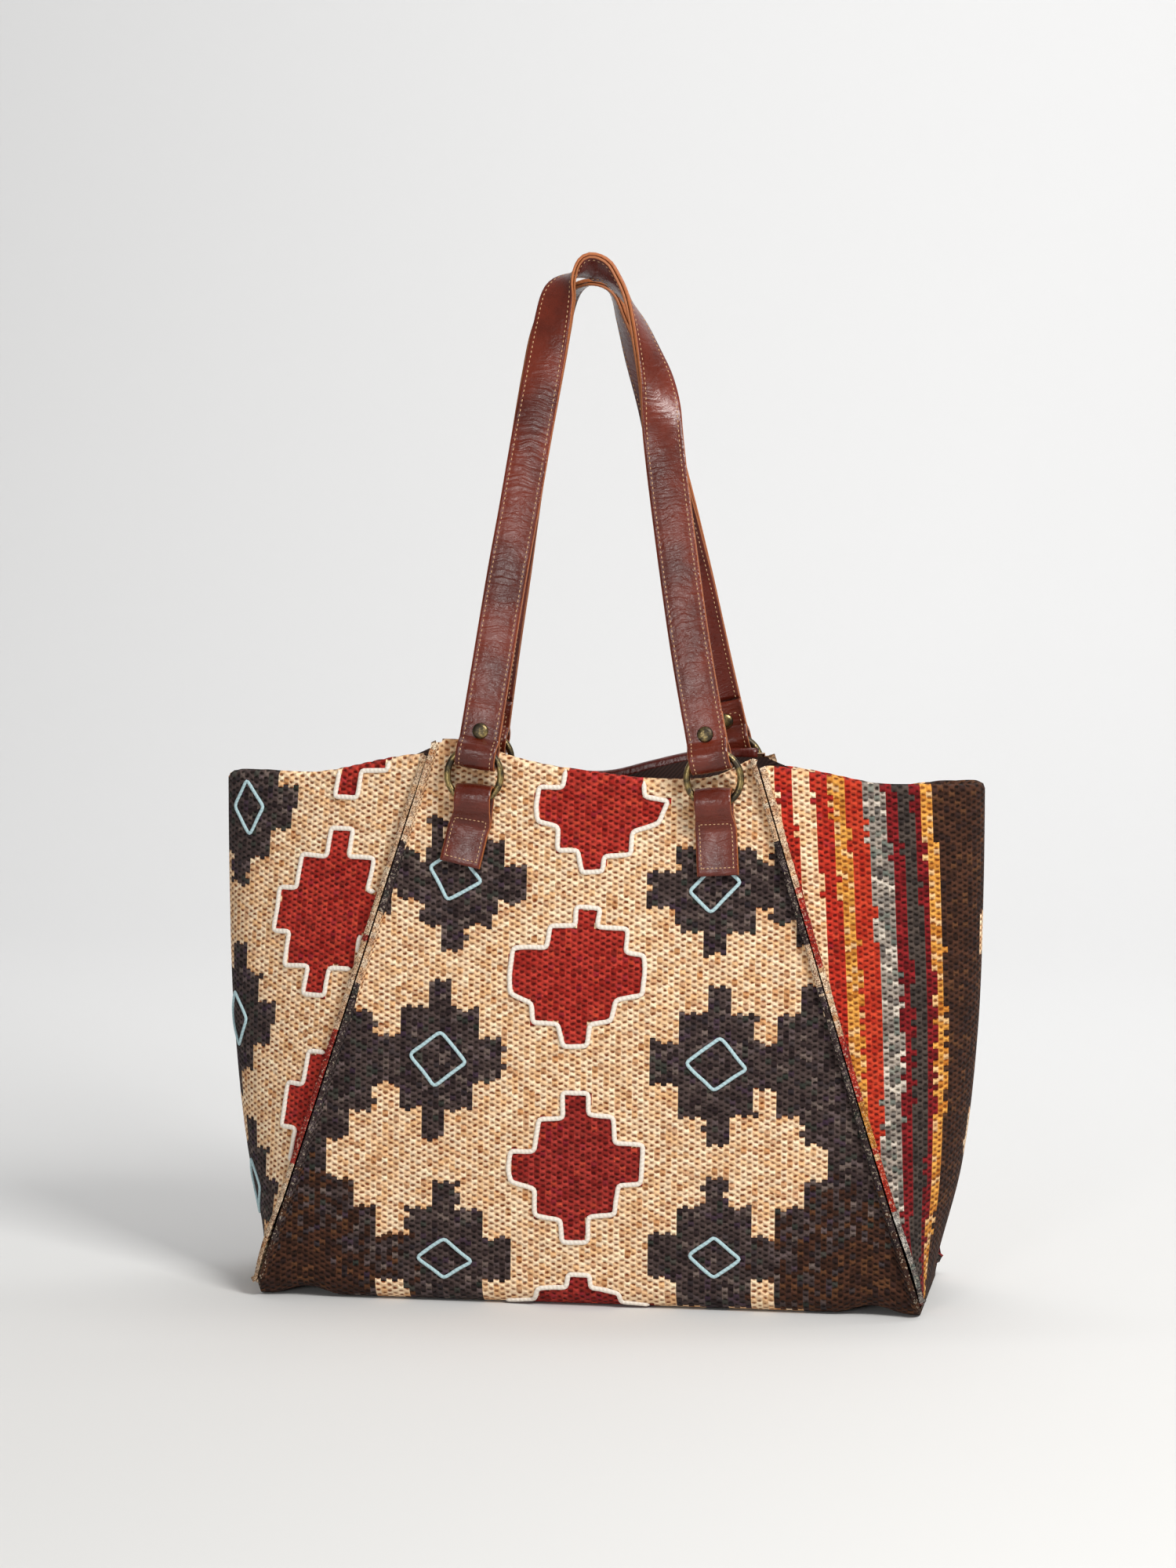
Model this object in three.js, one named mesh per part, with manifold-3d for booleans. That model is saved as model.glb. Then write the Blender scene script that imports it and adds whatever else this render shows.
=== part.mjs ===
// A kilim handbag: one woven strip for front, base and back, two winged gussets, and two strap handles
// that hang in rings on leather tabs.
import * as THREE from 'three';
import { mergeVertices } from 'three/addons/utils/BufferGeometryUtils.js';
import Module from 'manifold-3d';

const wasm = await Module();
wasm.setup();

// Driving dimensions in millimetres
const clothThickness = 3.4;
const seamGap = 1;               // between the two lips of a seam
const lipReach = 6;              // how far a seam lip stands out
const lipBend = 2.6;             // bend radius where a panel turns into its lip
const bodyHeight = 330;
const baseHalfWidth = 203.5;
const rimHalfWidth = 101;
const baseHalfDepth = 66;
const rimHalfDepth = 37.5;
const foldRadius = 10;           // bottom folds, at mid thickness
const bellyDepth = 5;            // how far front and back swell
const hemDepth = 13;             // the turned hem inside the rim
const baseLift = 5;              // how far the base rises off the floor beside its corners
const wingCurve = 2.4;           // exponent of the wing's plan curve: higher is blunter
const wingHalfWidths = [204, 223, 232, 234.6, 235];          // outside, from base to rim
const frontRimHeights = [337, 341, 332.5, 327, 324, 321, 320, 322.5, 334];   // left to right
const backRimHeights = [320, 317, 315, 314, 315, 321.5, 327.5, 330, 330];
const leftRimHeights = [333, 320.5, 319, 317, 315, 316, 317.5, 318, 319];    // front seam to back seam
const rightRimHeights = [329, 319.5, 318.5, 318, 318, 318, 318.5, 320.5, 328.5];

const liningThickness = 0.8;
const liningInset = 7.2;         // from the middle of the kilim
const liningFloor = 12;
const liningDrop = 3;            // its edge lies this far below the rim

const bindingThickness = 1.3;
const bindingLeg = 5;
const bindingHalfLength = 92;

const ringRadius = 16.4;         // to the middle of the wire
const ringWire = 4.2;
const ringHeight = 321.6;
const ringLeft = -70.5;
const ringRight = 75.8;
const ringBackLeft = -81.8;      // the back's left ring sits further out
const ringDepth = 50.4;          // distance of the rings from the bag's middle plane

const tabLoopWidth = 22.2;       // narrow where it passes through the ring
const tabSewnWidth = 25;
const tabThickness = 1.7;
const tabLoopRadius = 6;         // room inside the loop for the ring to swing
const tabLoopDrop = 13.45;       // loop centre below the ring's centre
const tabLeftLength = 42;        // loop centre to the sewn end
const tabRightLength = 45;
const tabLeftTilt = 4;           // degrees of the loop, then of the sewn part
const tabLeftEndTilt = 12.5;
const tabRightTilt = 3;
const tabRightEndTilt = 3.5;

const strapWidth = 24.4;
const strapThickness = 2.2;
const backingThickness = 1.8;
const plyGap = 0.4;
const strapLoopRise = 12.83;     // loop centre above the ring's centre
const strapLeftShift = 2;        // and nearer the bag's middle
const strapRightShift = 2.4;
const strapLoopHalf = 5.7;       // half the room between the two layers at the ring
const strapLoopDepth = 8;        // loop centre to the middle of its lowest layer
const tailEnd = 26;              // above the loop centre
const rivetRise = 14;
const rivetCapRadius = 4.9;
const rivetCapHeight = 1.8;
const rivetPostRadius = 1.4;

const half = clothThickness / 2;
const foldTop = foldRadius + half;
const mix = THREE.MathUtils.lerp;
const radians = THREE.MathUtils.degToRad;
const vec = (x, y, z) => new THREE.Vector3(x, y, z);

// Colours and finishes
const kilim = new THREE.MeshStandardMaterial({ color: 0x9a6a4c, roughness: 0.95, metalness: 0 });
const wing = new THREE.MeshStandardMaterial({ color: 0x7c3a30, roughness: 0.95, metalness: 0 });
const fabric = new THREE.MeshStandardMaterial({ color: 0x33261f, roughness: 0.9, metalness: 0 });
const leather = new THREE.MeshStandardMaterial({ color: 0x6b3a24, roughness: 0.5, metalness: 0 });
const brass = new THREE.MeshStandardMaterial({ color: 0x9a8a5e, roughness: 0.35, metalness: 1 });

const bag = new THREE.Group();

function add(name, geometry, material) {
  const mesh = new THREE.Mesh(geometry, material);
  mesh.name = name;
  bag.add(mesh);
}

// A smooth curve through evenly spaced values, for u from 0 to 1
function through(values, u) {
  const at = THREE.MathUtils.clamp(u, 0, 1) * (values.length - 1);
  const i = Math.min(Math.floor(at), values.length - 2);
  const t = at - i;
  const a = values[i];
  const b = values[i + 1];
  const before = values[Math.max(i - 1, 0)];
  const after = values[Math.min(i + 2, values.length - 1)];
  const m0 = (b - before) / 2;
  const m1 = (after - a) / 2;
  const t2 = t * t;
  const t3 = t2 * t;
  return a * (2 * t3 - 3 * t2 + 1) + m0 * (t3 - 2 * t2 + t) + b * (3 * t2 - 2 * t3) + m1 * (t3 - t2);
}

function range(from, to, steps) {
  return Array.from({ length: steps + 1 }, (_, i) => mix(from, to, i / steps));
}

// A closed body from points and triangles, turned to face outwards
function body(points, triangles) {
  let volume = 0;
  for (const [a, b, c] of triangles) {
    volume += points[a].dot(vec(0, 0, 0).crossVectors(points[b], points[c]));
  }
  const index = triangles.flatMap(([a, b, c]) => (volume > 0 ? [a, b, c] : [a, c, b]));
  const geometry = new THREE.BufferGeometry().setFromPoints(points);
  geometry.setIndex(index);
  geometry.computeVertexNormals();
  return geometry;
}

// A loft through closed sections of equal count, with both ends capped from their middles.
// The quads of the two halves split on opposite diagonals, so stacked strips split alike where they touch.
function loft(sections) {
  const n = sections[0].length;
  const points = sections.flat();
  const triangles = [];
  for (let r = 0; r + 1 < sections.length; r++) {
    for (let c = 0; c < n; c++) {
      const a = r * n + c;
      const b = r * n + (c + 1) % n;
      if (c < n / 2) triangles.push([a, b, b + n], [a, b + n, a + n]);
      else triangles.push([a, b, a + n], [b, b + n, a + n]);
    }
  }
  const cap = (first, flip) => {
    const ring = range(0, n - 1, n - 1).map((i) => first + Math.round(i));
    if (n === 4) {
      const [a, b, c, d] = flip ? [...ring].reverse() : ring;
      triangles.push([a, b, c], [a, c, d]);
      return;
    }
    const middle = vec(0, 0, 0);
    ring.forEach((i) => middle.add(points[i]));
    points.push(middle.divideScalar(n));
    ring.forEach((a, i) => {
      const b = ring[(i + 1) % n];
      triangles.push(flip ? [b, a, points.length - 1] : [a, b, points.length - 1]);
    });
  };
  cap(0, true);
  cap((sections.length - 1) * n, false);
  return body(points, triangles);
}

// A sheet of material: rows of mid-surface points, thickened to both sides along the surface normal
function sheet(rows, thicknessOut, thicknessIn) {
  const count = rows.length;
  const n = rows[0].length;
  const step = (list, i) => list[Math.min(i + 1, list.length - 1)].clone().sub(list[Math.max(i - 1, 0)]);
  const outer = [];
  const inner = [];
  rows.forEach((row, r) => {
    row.forEach((point, c) => {
      const across = step(row, c);
      const along = step(rows.map((other) => other[c]), r);
      const normal = across.cross(along).normalize();
      outer.push(point.clone().addScaledVector(normal, thicknessOut(r, c)));
      inner.push(point.clone().addScaledVector(normal, -thicknessIn(r, c)));
    });
  });
  const points = [...outer, ...inner];
  const under = count * n;
  const triangles = [];
  const quad = (a, b, c, d) => triangles.push([a, b, c], [a, c, d]);
  for (let r = 0; r + 1 < count; r++) {
    for (let c = 0; c + 1 < n; c++) {
      const a = r * n + c;
      quad(a, a + 1, a + n + 1, a + n);
      quad(under + a, under + a + n, under + a + n + 1, under + a + 1);
    }
    const left = r * n;
    const right = r * n + n - 1;
    quad(left, left + n, under + left + n, under + left);
    quad(right, under + right, under + right + n, right + n);
  }
  for (let c = 0; c + 1 < n; c++) {
    const last = (count - 1) * n + c;
    quad(c, under + c, under + c + 1, c + 1);
    quad(last, last + 1, under + last + 1, under + last);
  }
  return body(points, triangles);
}

// Cuts one solid from another
function cut(geometry, tool) {
  const solid = (source) => {
    const plain = source.clone();
    plain.deleteAttribute('normal');
    plain.deleteAttribute('uv');
    const merged = mergeVertices(plain, 1e-4);
    return new wasm.Manifold(new wasm.Mesh({
      numProp: 3,
      vertProperties: new Float32Array(merged.attributes.position.array),
      triVerts: new Uint32Array(merged.index.array),
    }));
  };
  const left = solid(geometry).subtract(solid(tool)).getMesh();
  const result = new THREE.BufferGeometry();
  result.setAttribute('position', new THREE.BufferAttribute(new Float32Array(left.vertProperties), 3));
  result.setIndex(new THREE.BufferAttribute(new Uint32Array(left.triVerts), 1));
  result.computeVertexNormals();
  return result;
}

// The bag's plan at each height: half width of the panels, half depth, and how far the wing reaches
const halfWidthAt = (z) => mix(baseHalfWidth, rimHalfWidth, z / bodyHeight);
const halfDepthAt = (z) => mix(baseHalfDepth, rimHalfDepth, Math.max(z - foldTop, 0) / (bodyHeight - foldTop));
const wingAt = (z) => through(wingHalfWidths, z / bodyHeight) - half;
const reachAt = (z) => Math.max(wingAt(z) - halfWidthAt(z), 1);
const bellyAt = (s, z) => bellyDepth * (1 - s * s) * Math.sin(Math.PI * THREE.MathUtils.clamp(z / bodyHeight, 0, 1));

function liftAt(x, z) {
  const beside = THREE.MathUtils.clamp((Math.abs(x) - 150) / 48, 0, 1);
  return baseLift * Math.sin(Math.PI * beside) ** 2 * Math.max(0, 1 - z / 60);
}

// The seam of the right front edge at height z. fin is the direction the two lips stand out in,
// away the direction in which the gusset leaves, and setback how far each panel's corner keeps from the seam.
function seamAt(z) {
  const away = vec(wingCurve * reachAt(z), halfDepthAt(z), 0).normalize();
  const fin = vec(away.y, -1 - away.x, 0).normalize();
  const setback = (clothThickness + seamGap) / 2 / -fin.y;
  return { away, fin, setback };
}
const foldSeam = seamAt(foldTop);

// The points that carry a panel round its corner and out along the lip
function lipPoints(corner, arrival, fin) {
  const turn = Math.acos(THREE.MathUtils.clamp(arrival.dot(fin), -1, 1));
  const run = Math.max(lipBend * Math.tan(turn / 2), 1.2);
  const start = corner.clone().addScaledVector(arrival, -run);
  const end = corner.clone().addScaledVector(fin, run);
  const middle = start.clone().add(end).multiplyScalar(0.25).addScaledVector(corner, 0.5);
  const tip = corner.clone().addScaledVector(fin, lipReach);
  return [start, middle, end, tip];
}

const mirrored = (point, x, y) => vec(point.x * x, point.y * y, point.z);

// Body panel: rows run from the front rim, down and round the base, to the back rim
const bodyColumns = range(-1, 1, 12);
const bodyRows = [];
const hemRows = new Set();

function bodyRow(heightAt, depthOf, fin, setback) {
  const arrival = vec(1, 0, 0);
  const ends = [-1, 1].map((side) => {
    const z = heightAt(side);
    const corner = vec(halfWidthAt(z) - setback(z), -depthOf(side, z), z);
    return lipPoints(corner, arrival, fin(z)).map((p) => mirrored(p, side, 1));
  });
  const main = bodyColumns.map((s) => {
    const z = heightAt(s);
    const edge = mix(Math.abs(ends[0][0].x), ends[1][0].x, (s + 1) / 2);
    return vec(s * edge, -depthOf(s, z), z);
  });
  const row = [...ends[0].slice(1).reverse(), ...main, ...ends[1].slice(1)];
  row.forEach((p) => { p.z += liftAt(p.x, p.z); });
  return row;
}

function wallRows(rimHeights, hem) {
  const rim = (s) => through(rimHeights, (s + 1) / 2);
  const heights = [
    (s) => rim(s),
    (s) => rim(s) - hemDepth,
    (s) => rim(s) - hemDepth - 2,
    ...range(0.86, 0, 8).map((f) => (s) => mix(foldTop, rim(s), f)),
  ];
  return heights.map((heightAt, i) => {
    const row = bodyRow(heightAt, (s, z) => halfDepthAt(z) + bellyAt(s, z), (z) => seamAt(z).fin,
      (z) => seamAt(z).setback);
    return { row, hem: hem && i < 2 };
  });
}

function foldRow(degrees) {
  const w = degrees / 90;
  const y = baseHalfDepth - foldRadius + foldRadius * Math.cos(radians(degrees));
  const z = foldTop - foldRadius * Math.sin(radians(degrees));
  const fin = foldSeam.fin.clone().lerp(vec(1, 0, 0), w).normalize();
  return { row: bodyRow(() => z, () => y, () => fin, () => foldSeam.setback * (1 - w)), hem: false };
}

function baseRow(y) {
  return { row: bodyRow(() => half, () => -y, () => vec(1, 0, 0), () => 0), hem: false };
}

const toBack = ({ row, hem }) => ({ row: row.map((p) => mirrored(p, 1, -1)), hem });
const baseEdge = baseHalfDepth - foldRadius;
const panelRows = [
  ...wallRows(frontRimHeights, true),
  ...[30, 60, 90].map(foldRow),
  ...range(-baseEdge, baseEdge, 4).slice(1, -1).map(baseRow),
  ...[90, 60, 30].map((a) => toBack(foldRow(a))),
  ...wallRows(backRimHeights, false).reverse().map(toBack),
];
panelRows.forEach(({ row, hem }, i) => {
  bodyRows.push(row);
  if (hem) hemRows.add(i);
});
const lipColumns = 3;
const hemmed = (row, col, columns) => hemRows.has(row) && col > lipColumns && col < columns - 1 - lipColumns;
const bodyWidth = bodyRows[0].length;
add('body_panel', sheet(bodyRows, (r, c) => (hemmed(r, c, bodyWidth) ? half + clothThickness : half),
  () => half), kilim);

// Gussets: rows run from rim to base, columns from the front seam round the wing to the back seam
const gussetColumns = range(-1, 1, 12);

function gussetRow(heightAt, side) {
  const seamSide = (end) => {
    const z = heightAt(end);
    const x = halfWidthAt(z);
    if (z >= foldTop) {
      const { away, fin, setback } = seamAt(z);
      const corner = vec(x, -halfDepthAt(z), z).addScaledVector(away, setback);
      return { away, points: lipPoints(corner, away.clone().negate(), fin), depth: halfDepthAt(z) };
    }
    const down = Math.asin(Math.min((foldTop - z) / 5.6, 1));
    const fin = foldSeam.fin.clone().lerp(vec(1, 0, 0), down / (Math.PI / 2)).normalize();
    const depth = baseEdge + (foldRadius - foldSeam.setback - 1) * Math.cos(down);
    const away = vec(0, 1, 0);
    return { away, points: lipPoints(vec(x, -depth, z), vec(0, -1, 0), fin), depth };
  };
  const front = seamSide(-1);
  const back = seamSide(1);
  const main = gussetColumns.map((q) => {
    const end = q < 0 ? front : back;
    const z = heightAt(q);
    const depth = z >= foldTop ? halfDepthAt(z) : end.depth;
    const room = Math.abs(end.points[0].y) / end.depth;
    const k = Math.abs(q) * room;
    const x = halfWidthAt(z) + reachAt(z) * (1 - k ** wingCurve);
    return vec(x, q * room * depth, z);
  });
  main[0].copy(front.points[0]);
  main[main.length - 1].copy(mirrored(back.points[0], 1, -1));
  const row = [
    ...front.points.slice(1).reverse(),
    ...main,
    ...back.points.slice(1).map((p) => mirrored(p, 1, -1)),
  ];
  return row.map((p) => mirrored(p, side, 1));
}

function gusset(rimHeights, side) {
  const rim = (q) => through(rimHeights, (q + 1) / 2);
  const heights = [
    (q) => rim(q),
    (q) => rim(q) - hemDepth,
    (q) => rim(q) - hemDepth - 2,
    ...range(0.86, 0, 7).map((f) => (q) => mix(foldTop, rim(q), f)),
    ...[9, 7, 5.8].map((z) => () => z),
  ];
  const rows = heights.map((heightAt) => gussetRow(heightAt, side));
  const columns = rows[0].length;
  const inside = (r, c) => r < 2 && c > lipColumns && c < columns - 1 - lipColumns;
  const grown = (r, c) => (inside(r, c) ? half + clothThickness : half);
  return side > 0 ? sheet(rows, grown, () => half) : sheet(rows, () => half, grown);
}
add('left_gusset', gusset(leftRimHeights, -1), wing);
add('right_gusset', gusset(rightRimHeights, 1), wing);

// Lining: a bag of thin fabric inside the kilim
function liningLoop(f, inset, reachCut, floor) {
  const heightOf = (rimHeights, u) => mix(floor, through(rimHeights, u) - liningDrop, f);
  const wall = (rimHeights, s) => {
    const z = heightOf(rimHeights, (s + 1) / 2);
    return vec(s * (halfWidthAt(z) - 4), -(halfDepthAt(z) + bellyAt(s, z) - inset), z);
  };
  const end = (rimHeights, q) => {
    const z = heightOf(rimHeights, (q + 1) / 2);
    const x = halfWidthAt(z) - 4;
    const reach = Math.max(wingAt(z) - reachCut - x, 0.5);
    return vec(x + reach * (1 - Math.abs(q) ** wingCurve), q * (halfDepthAt(z) - inset), z);
  };
  const walls = range(-1, 1, 6);
  const ends = range(-1, 1, 8).slice(1, -1);
  return [
    ...walls.map((s) => wall(frontRimHeights, s)),
    ...ends.map((q) => end(rightRimHeights, q)),
    ...walls.map((s) => mirrored(wall(backRimHeights, -s), 1, -1)),
    ...ends.map((q) => mirrored(end(leftRimHeights, -q), -1, 1)),
  ];
}
const liningSteps = range(0, 1, 5);
add('lining', loft([
  ...liningSteps.map((f) => liningLoop(f, liningInset, liningInset + 2, liningFloor)),
  ...[...liningSteps].reverse().map((f) => liningLoop(f, liningInset + liningThickness,
    liningInset + 2 + 2 * liningThickness, liningFloor + liningThickness)),
]), fabric);

// Leather binding: a channel bent over the rim of the back
const bindingRows = range(-1, 1, 14).map((u) => {
  const x = u * bindingHalfLength;
  const s = x / rimHalfWidth;
  const z = through(backRimHeights, (s + 1) / 2);
  const y = halfDepthAt(z) + bellyAt(s, z);
  const out = half + 0.7 + bindingThickness / 2;
  const top = z + 0.7 + bindingThickness / 2;
  return [
    vec(x, y + out + 0.4, top - bindingLeg),
    vec(x, y + out, top),
    vec(x, y - out, top),
    vec(x, y - out + 0.4, top - bindingLeg),
  ];
});
const bindingHalf = () => bindingThickness / 2;
add('back_binding', sheet(bindingRows, bindingHalf, bindingHalf), leather);

// A flat strip that follows stations of {centre, across, normal, width}, as thick as given
function strip(stations, thickness) {
  return loft(stations.map(({ centre, across, normal, width }) => {
    const corner = (a, n) => centre.clone().addScaledVector(across, a * width / 2)
      .addScaledVector(normal, n * thickness / 2);
    return [corner(-1, -1), corner(1, -1), corner(1, 1), corner(-1, 1)];
  }));
}

// Points of a flat path in a plane (out, up), smoothed, each with its normal
function flatPath(points, steps) {
  const curve = new THREE.CatmullRomCurve3(points.map(([out, up]) => vec(out, up, 0)), false, 'centripetal');
  return range(0, 1, steps).map((u) => {
    const at = curve.getPoint(u);
    const along = curve.getTangent(u);
    return { out: at.x, up: at.y, normal: [along.y, -along.x] };
  });
}

// Tabs: folded over the ring's lower arc and sewn flat against the kilim
const tabRadius = tabLoopRadius + tabThickness / 2;
const tabFront = -tabRadius + tabThickness + 0.4;
const tabPath = (length) => flatPath([
  [-tabRadius, -length], [-tabRadius, -30], [-tabRadius, -16], [-tabRadius, -6], [-tabRadius, 0],
  ...range(160, 20, 5).map((a) => [tabRadius * Math.cos(radians(a)), tabRadius * Math.sin(radians(a))]),
  [tabRadius, 0], [tabRadius - 0.4, -3], [tabRadius - 2.6, -7], [-0.4, -12], [tabFront + 0.6, -17],
  [tabFront, -21], [tabFront, -31], [tabFront, -length],
], 24);

function tab(ringX, length, tilt, endTilt, side) {
  const surface = (z) => vec(0, -(halfDepthAt(z) + half + bellyAt(ringX / halfWidthAt(z), z)), z);
  const loopZ = ringHeight - tabLoopDrop;
  const up = surface(loopZ).sub(surface(loopZ - length)).normalize();
  const out = vec(0, -up.z, up.y);
  const origin = vec(ringX, -ringDepth, loopZ);
  const sideways = vec(1, 0, 0);
  const stations = tabPath(length).map((p) => {
    const below = THREE.MathUtils.clamp((-p.up - 6) / 14, 0, 1);
    const lean = radians(Math.sign(endTilt) * mix(tilt, Math.abs(endTilt), below));
    const spine = up.clone().multiplyScalar(Math.cos(lean)).addScaledVector(sideways, Math.sin(lean));
    const across = sideways.clone().multiplyScalar(Math.cos(lean)).addScaledVector(up, -Math.sin(lean));
    const centre = origin.clone().addScaledVector(spine, p.up).addScaledVector(out, p.out);
    const normal = out.clone().multiplyScalar(p.normal[0]).addScaledVector(spine, p.normal[1]);
    const width = mix(tabLoopWidth, tabSewnWidth, THREE.MathUtils.clamp((-p.up - 8) / 8, 0, 1));
    return { centre, across, normal, width };
  });
  const geometry = strip(stations, tabThickness);
  return side < 0 ? geometry : turned(geometry);
}

// Fittings of the back are drawn as if they stood in front, and mirrored through the middle plane
function turned(geometry) {
  const copy = geometry.index ? geometry.clone() : mergeVertices(geometry);
  copy.scale(1, -1, 1);
  const index = copy.index.array;
  for (let i = 0; i < index.length; i += 3) {
    [index[i + 1], index[i + 2]] = [index[i + 2], index[i + 1]];
  }
  copy.computeVertexNormals();
  return copy;
}

const sides = [['front', -1, ringLeft], ['back', 1, ringBackLeft]];
for (const [place, side, leftX] of sides) {
  add(`${place}_left_tab`, tab(leftX, tabLeftLength, tabLeftTilt, tabLeftEndTilt, side), leather);
  add(`${place}_right_tab`, tab(ringRight, tabRightLength, tabRightTilt, -tabRightEndTilt, side), leather);
}

// Rings
for (const [place, side, leftX] of sides) {
  for (const [hand, x] of [['left', leftX], ['right', ringRight]]) {
    const ring = new THREE.TorusGeometry(ringRadius, ringWire / 2, 7, 18);
    ring.deleteAttribute('uv');
    ring.deleteAttribute('normal');
    const closed = mergeVertices(ring, 1e-4);
    closed.rotateX(Math.PI / 2);
    closed.translate(x, side * ringDepth, ringHeight);
    closed.computeVertexNormals();
    add(`${place}_${hand}_ring`, closed, brass);
  }
}

// Handles run from the left ring up the leg, over the top and down to the right ring. A key is a centre, then the
// direction from the inner edge to the outer edge. The inner edges of the legs become the near edge at the top,
// so the strap turns over as it rises. The back handle leans to the left and is drawn as if it stood in front.
const leftLean = [-0.987, 0, 0.16];
const rightLean = [0.987, 0, 0.16];
const frontKeys = [
  [[-60.4, -44.6, 387], leftLean],
  [[-51.4, -38, 446], leftLean],
  [[-45.6, -34.4, 480], leftLean],
  [[-38.5, -29, 525], [-0.987, 0.03, 0.155]],
  [[-30.8, -23.5, 570], [-0.98, 0.12, 0.15]],
  [[-26.8, -20.8, 592.6], [-0.955, 0.27, 0.1]],
  [[-22.7, -17.8, 612], [-0.88, 0.45, -0.12]],
  [[-16.2, -16, 621], [-0.67, 0.65, -0.36]],
  [[-6, -14.6, 627.2], [-0.36, 0.74, -0.57]],
  [[3, -14.2, 625.6], [-0.26, 0.84, -0.48]],
  [[10, -14.2, 618.6], [-0.2, 0.92, -0.33]],
  [[16.7, -14.6, 608.8], [-0.1, 0.97, -0.2]],
  [[23.2, -16, 596], [0.13, 0.98, -0.06]],
  [[30, -19, 578], [0.42, 0.91, 0]],
  [[36, -23, 560.5], [0.7, 0.71, 0.07]],
  [[39.2, -26, 546], [0.86, 0.48, 0.13]],
  [[41.6, -28.8, 527], [0.97, 0.14, 0.16]],
  [[47, -34, 488], rightLean],
  [[60.4, -43.6, 402], rightLean],
];
const backKeys = [
  [[-71.4, -43.6, 388], leftLean],
  [[-63.2, -38.5, 437.6], leftLean],
  [[-58.2, -35, 469], [-0.97, 0.18, 0.155]],
  [[-50.3, -29.6, 515], [-0.93, 0.32, 0.14]],
  [[-41.7, -24, 560], [-0.9, 0.42, 0.1]],
  [[-35.4, -20.6, 588], [-0.83, 0.55, 0.02]],
  [[-28, -18, 606], [-0.66, 0.74, -0.1]],
  [[-18, -16.6, 615.5], [-0.36, 0.92, -0.16]],
  [[-6.5, -16, 619.5], [-0.05, 0.99, -0.1]],
  [[4, -16.4, 613], [0.18, 0.98, 0]],
  [[10.4, -18, 595], [0.35, 0.935, 0]],
  [[17.6, -21, 572], [0.56, 0.83, 0.01]],
  [[27, -25, 544], [0.76, 0.65, 0.05]],
  [[35, -29, 512], [0.88, 0.46, 0.1]],
  [[41.8, -33, 482], [0.93, 0.34, 0.14]],
  [[46.8, -36, 458], [0.97, 0.18, 0.15]],
  [[53.5, -39.6, 427], rightLean],
  [[63.4, -44.8, 380], rightLean],
];

// The line of a handle between two rings: its frame at u from 0 to 1, and at a length from the left loop
const lengthSteps = 400;

function handleLine(leftX, rightX, keys) {
  const height = ringHeight + strapLoopRise;
  const allKeys = [
    [[leftX + strapLeftShift, -ringDepth, height], leftLean],
    ...keys,
    [[rightX - strapRightShift, -ringDepth, height], rightLean],
  ];
  const edge = (sign) => new THREE.CatmullRomCurve3(allKeys.map(([centre, across]) =>
    vec(...centre).addScaledVector(vec(...across).normalize(), sign * strapWidth / 2)), false, 'centripetal');
  const inner = edge(-1);
  const outer = edge(1);
  const middle = (t) => inner.getPoint(t).add(outer.getPoint(t)).multiplyScalar(0.5);
  const frameAt = (u) => {
    const along = middle(Math.min(u + 0.002, 1)).sub(middle(Math.max(u - 0.002, 0))).normalize();
    const across = outer.getPoint(u).sub(inner.getPoint(u)).normalize();
    const normal = along.clone().cross(across).normalize();
    return { centre: middle(u), along, across: normal.clone().cross(along).normalize(), normal };
  };
  const lengths = [0];
  for (let i = 1; i <= lengthSteps; i++) {
    lengths.push(lengths[i - 1] + middle((i - 1) / lengthSteps).distanceTo(middle(i / lengthSteps)));
  }
  const frameAtLength = (length) => {
    const i = Math.min(Math.max(lengths.findIndex((l) => l > length), 1), lengthSteps);
    const t = (length - lengths[i - 1]) / (lengths[i] - lengths[i - 1]);
    return frameAt(THREE.MathUtils.clamp((i - 1 + t) / lengthSteps, 0, 1));
  };
  return { frameAt, frameAtLength, length: lengths[lengthSteps] };
}

// The strap's end: down the outside, round the ring and up inside, in the leg's own plane
const plyOffset = (strapThickness + plyGap) / 2;
const loopOffset = strapLoopHalf + strapThickness / 2;
const strapEnd = flatPath([
  [plyOffset, 22], [plyOffset, 16], [plyOffset, 11.8], [plyOffset + 0.03, 9.5], [2, 8], [3.9, 6.3], [5.8, 4.5],
  [loopOffset, 2.1], [loopOffset, 0],
  ...range(-25, -155, 5).map((a) => [loopOffset * Math.cos(radians(a)), strapLoopDepth * Math.sin(radians(a))]),
  [-loopOffset, 0], [-loopOffset, 2.1], [-5.8, 4.5], [-3.9, 6.3], [-2, 8], [-plyOffset - 0.03, 9.5],
  [-plyOffset, 11.8], [-plyOffset, 16], [-plyOffset, tailEnd],
], 28);

function endStations(frame, upward) {
  return strapEnd.map((p) => ({
    centre: frame.centre.clone().addScaledVector(frame.normal, p.out).addScaledVector(upward, p.up),
    across: frame.across,
    normal: frame.normal.clone().multiplyScalar(p.normal[0]).addScaledVector(upward, p.normal[1]).negate(),
    width: strapWidth,
  }));
}

// Rivets: a post between two domed caps
const capBase = plyOffset + strapThickness / 2 + plyGap;
const capProfile = [
  [rivetCapRadius, 0], [rivetCapRadius, 0.7], [3, 1.5], [0, rivetCapHeight],
];
const rivetProfile = [
  ...[...capProfile].reverse().map(([r, h]) => new THREE.Vector2(r, -capBase - h)),
  new THREE.Vector2(rivetPostRadius, -capBase),
  new THREE.Vector2(rivetPostRadius, capBase),
  ...capProfile.map(([r, h]) => new THREE.Vector2(r, capBase + h)),
];

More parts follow.
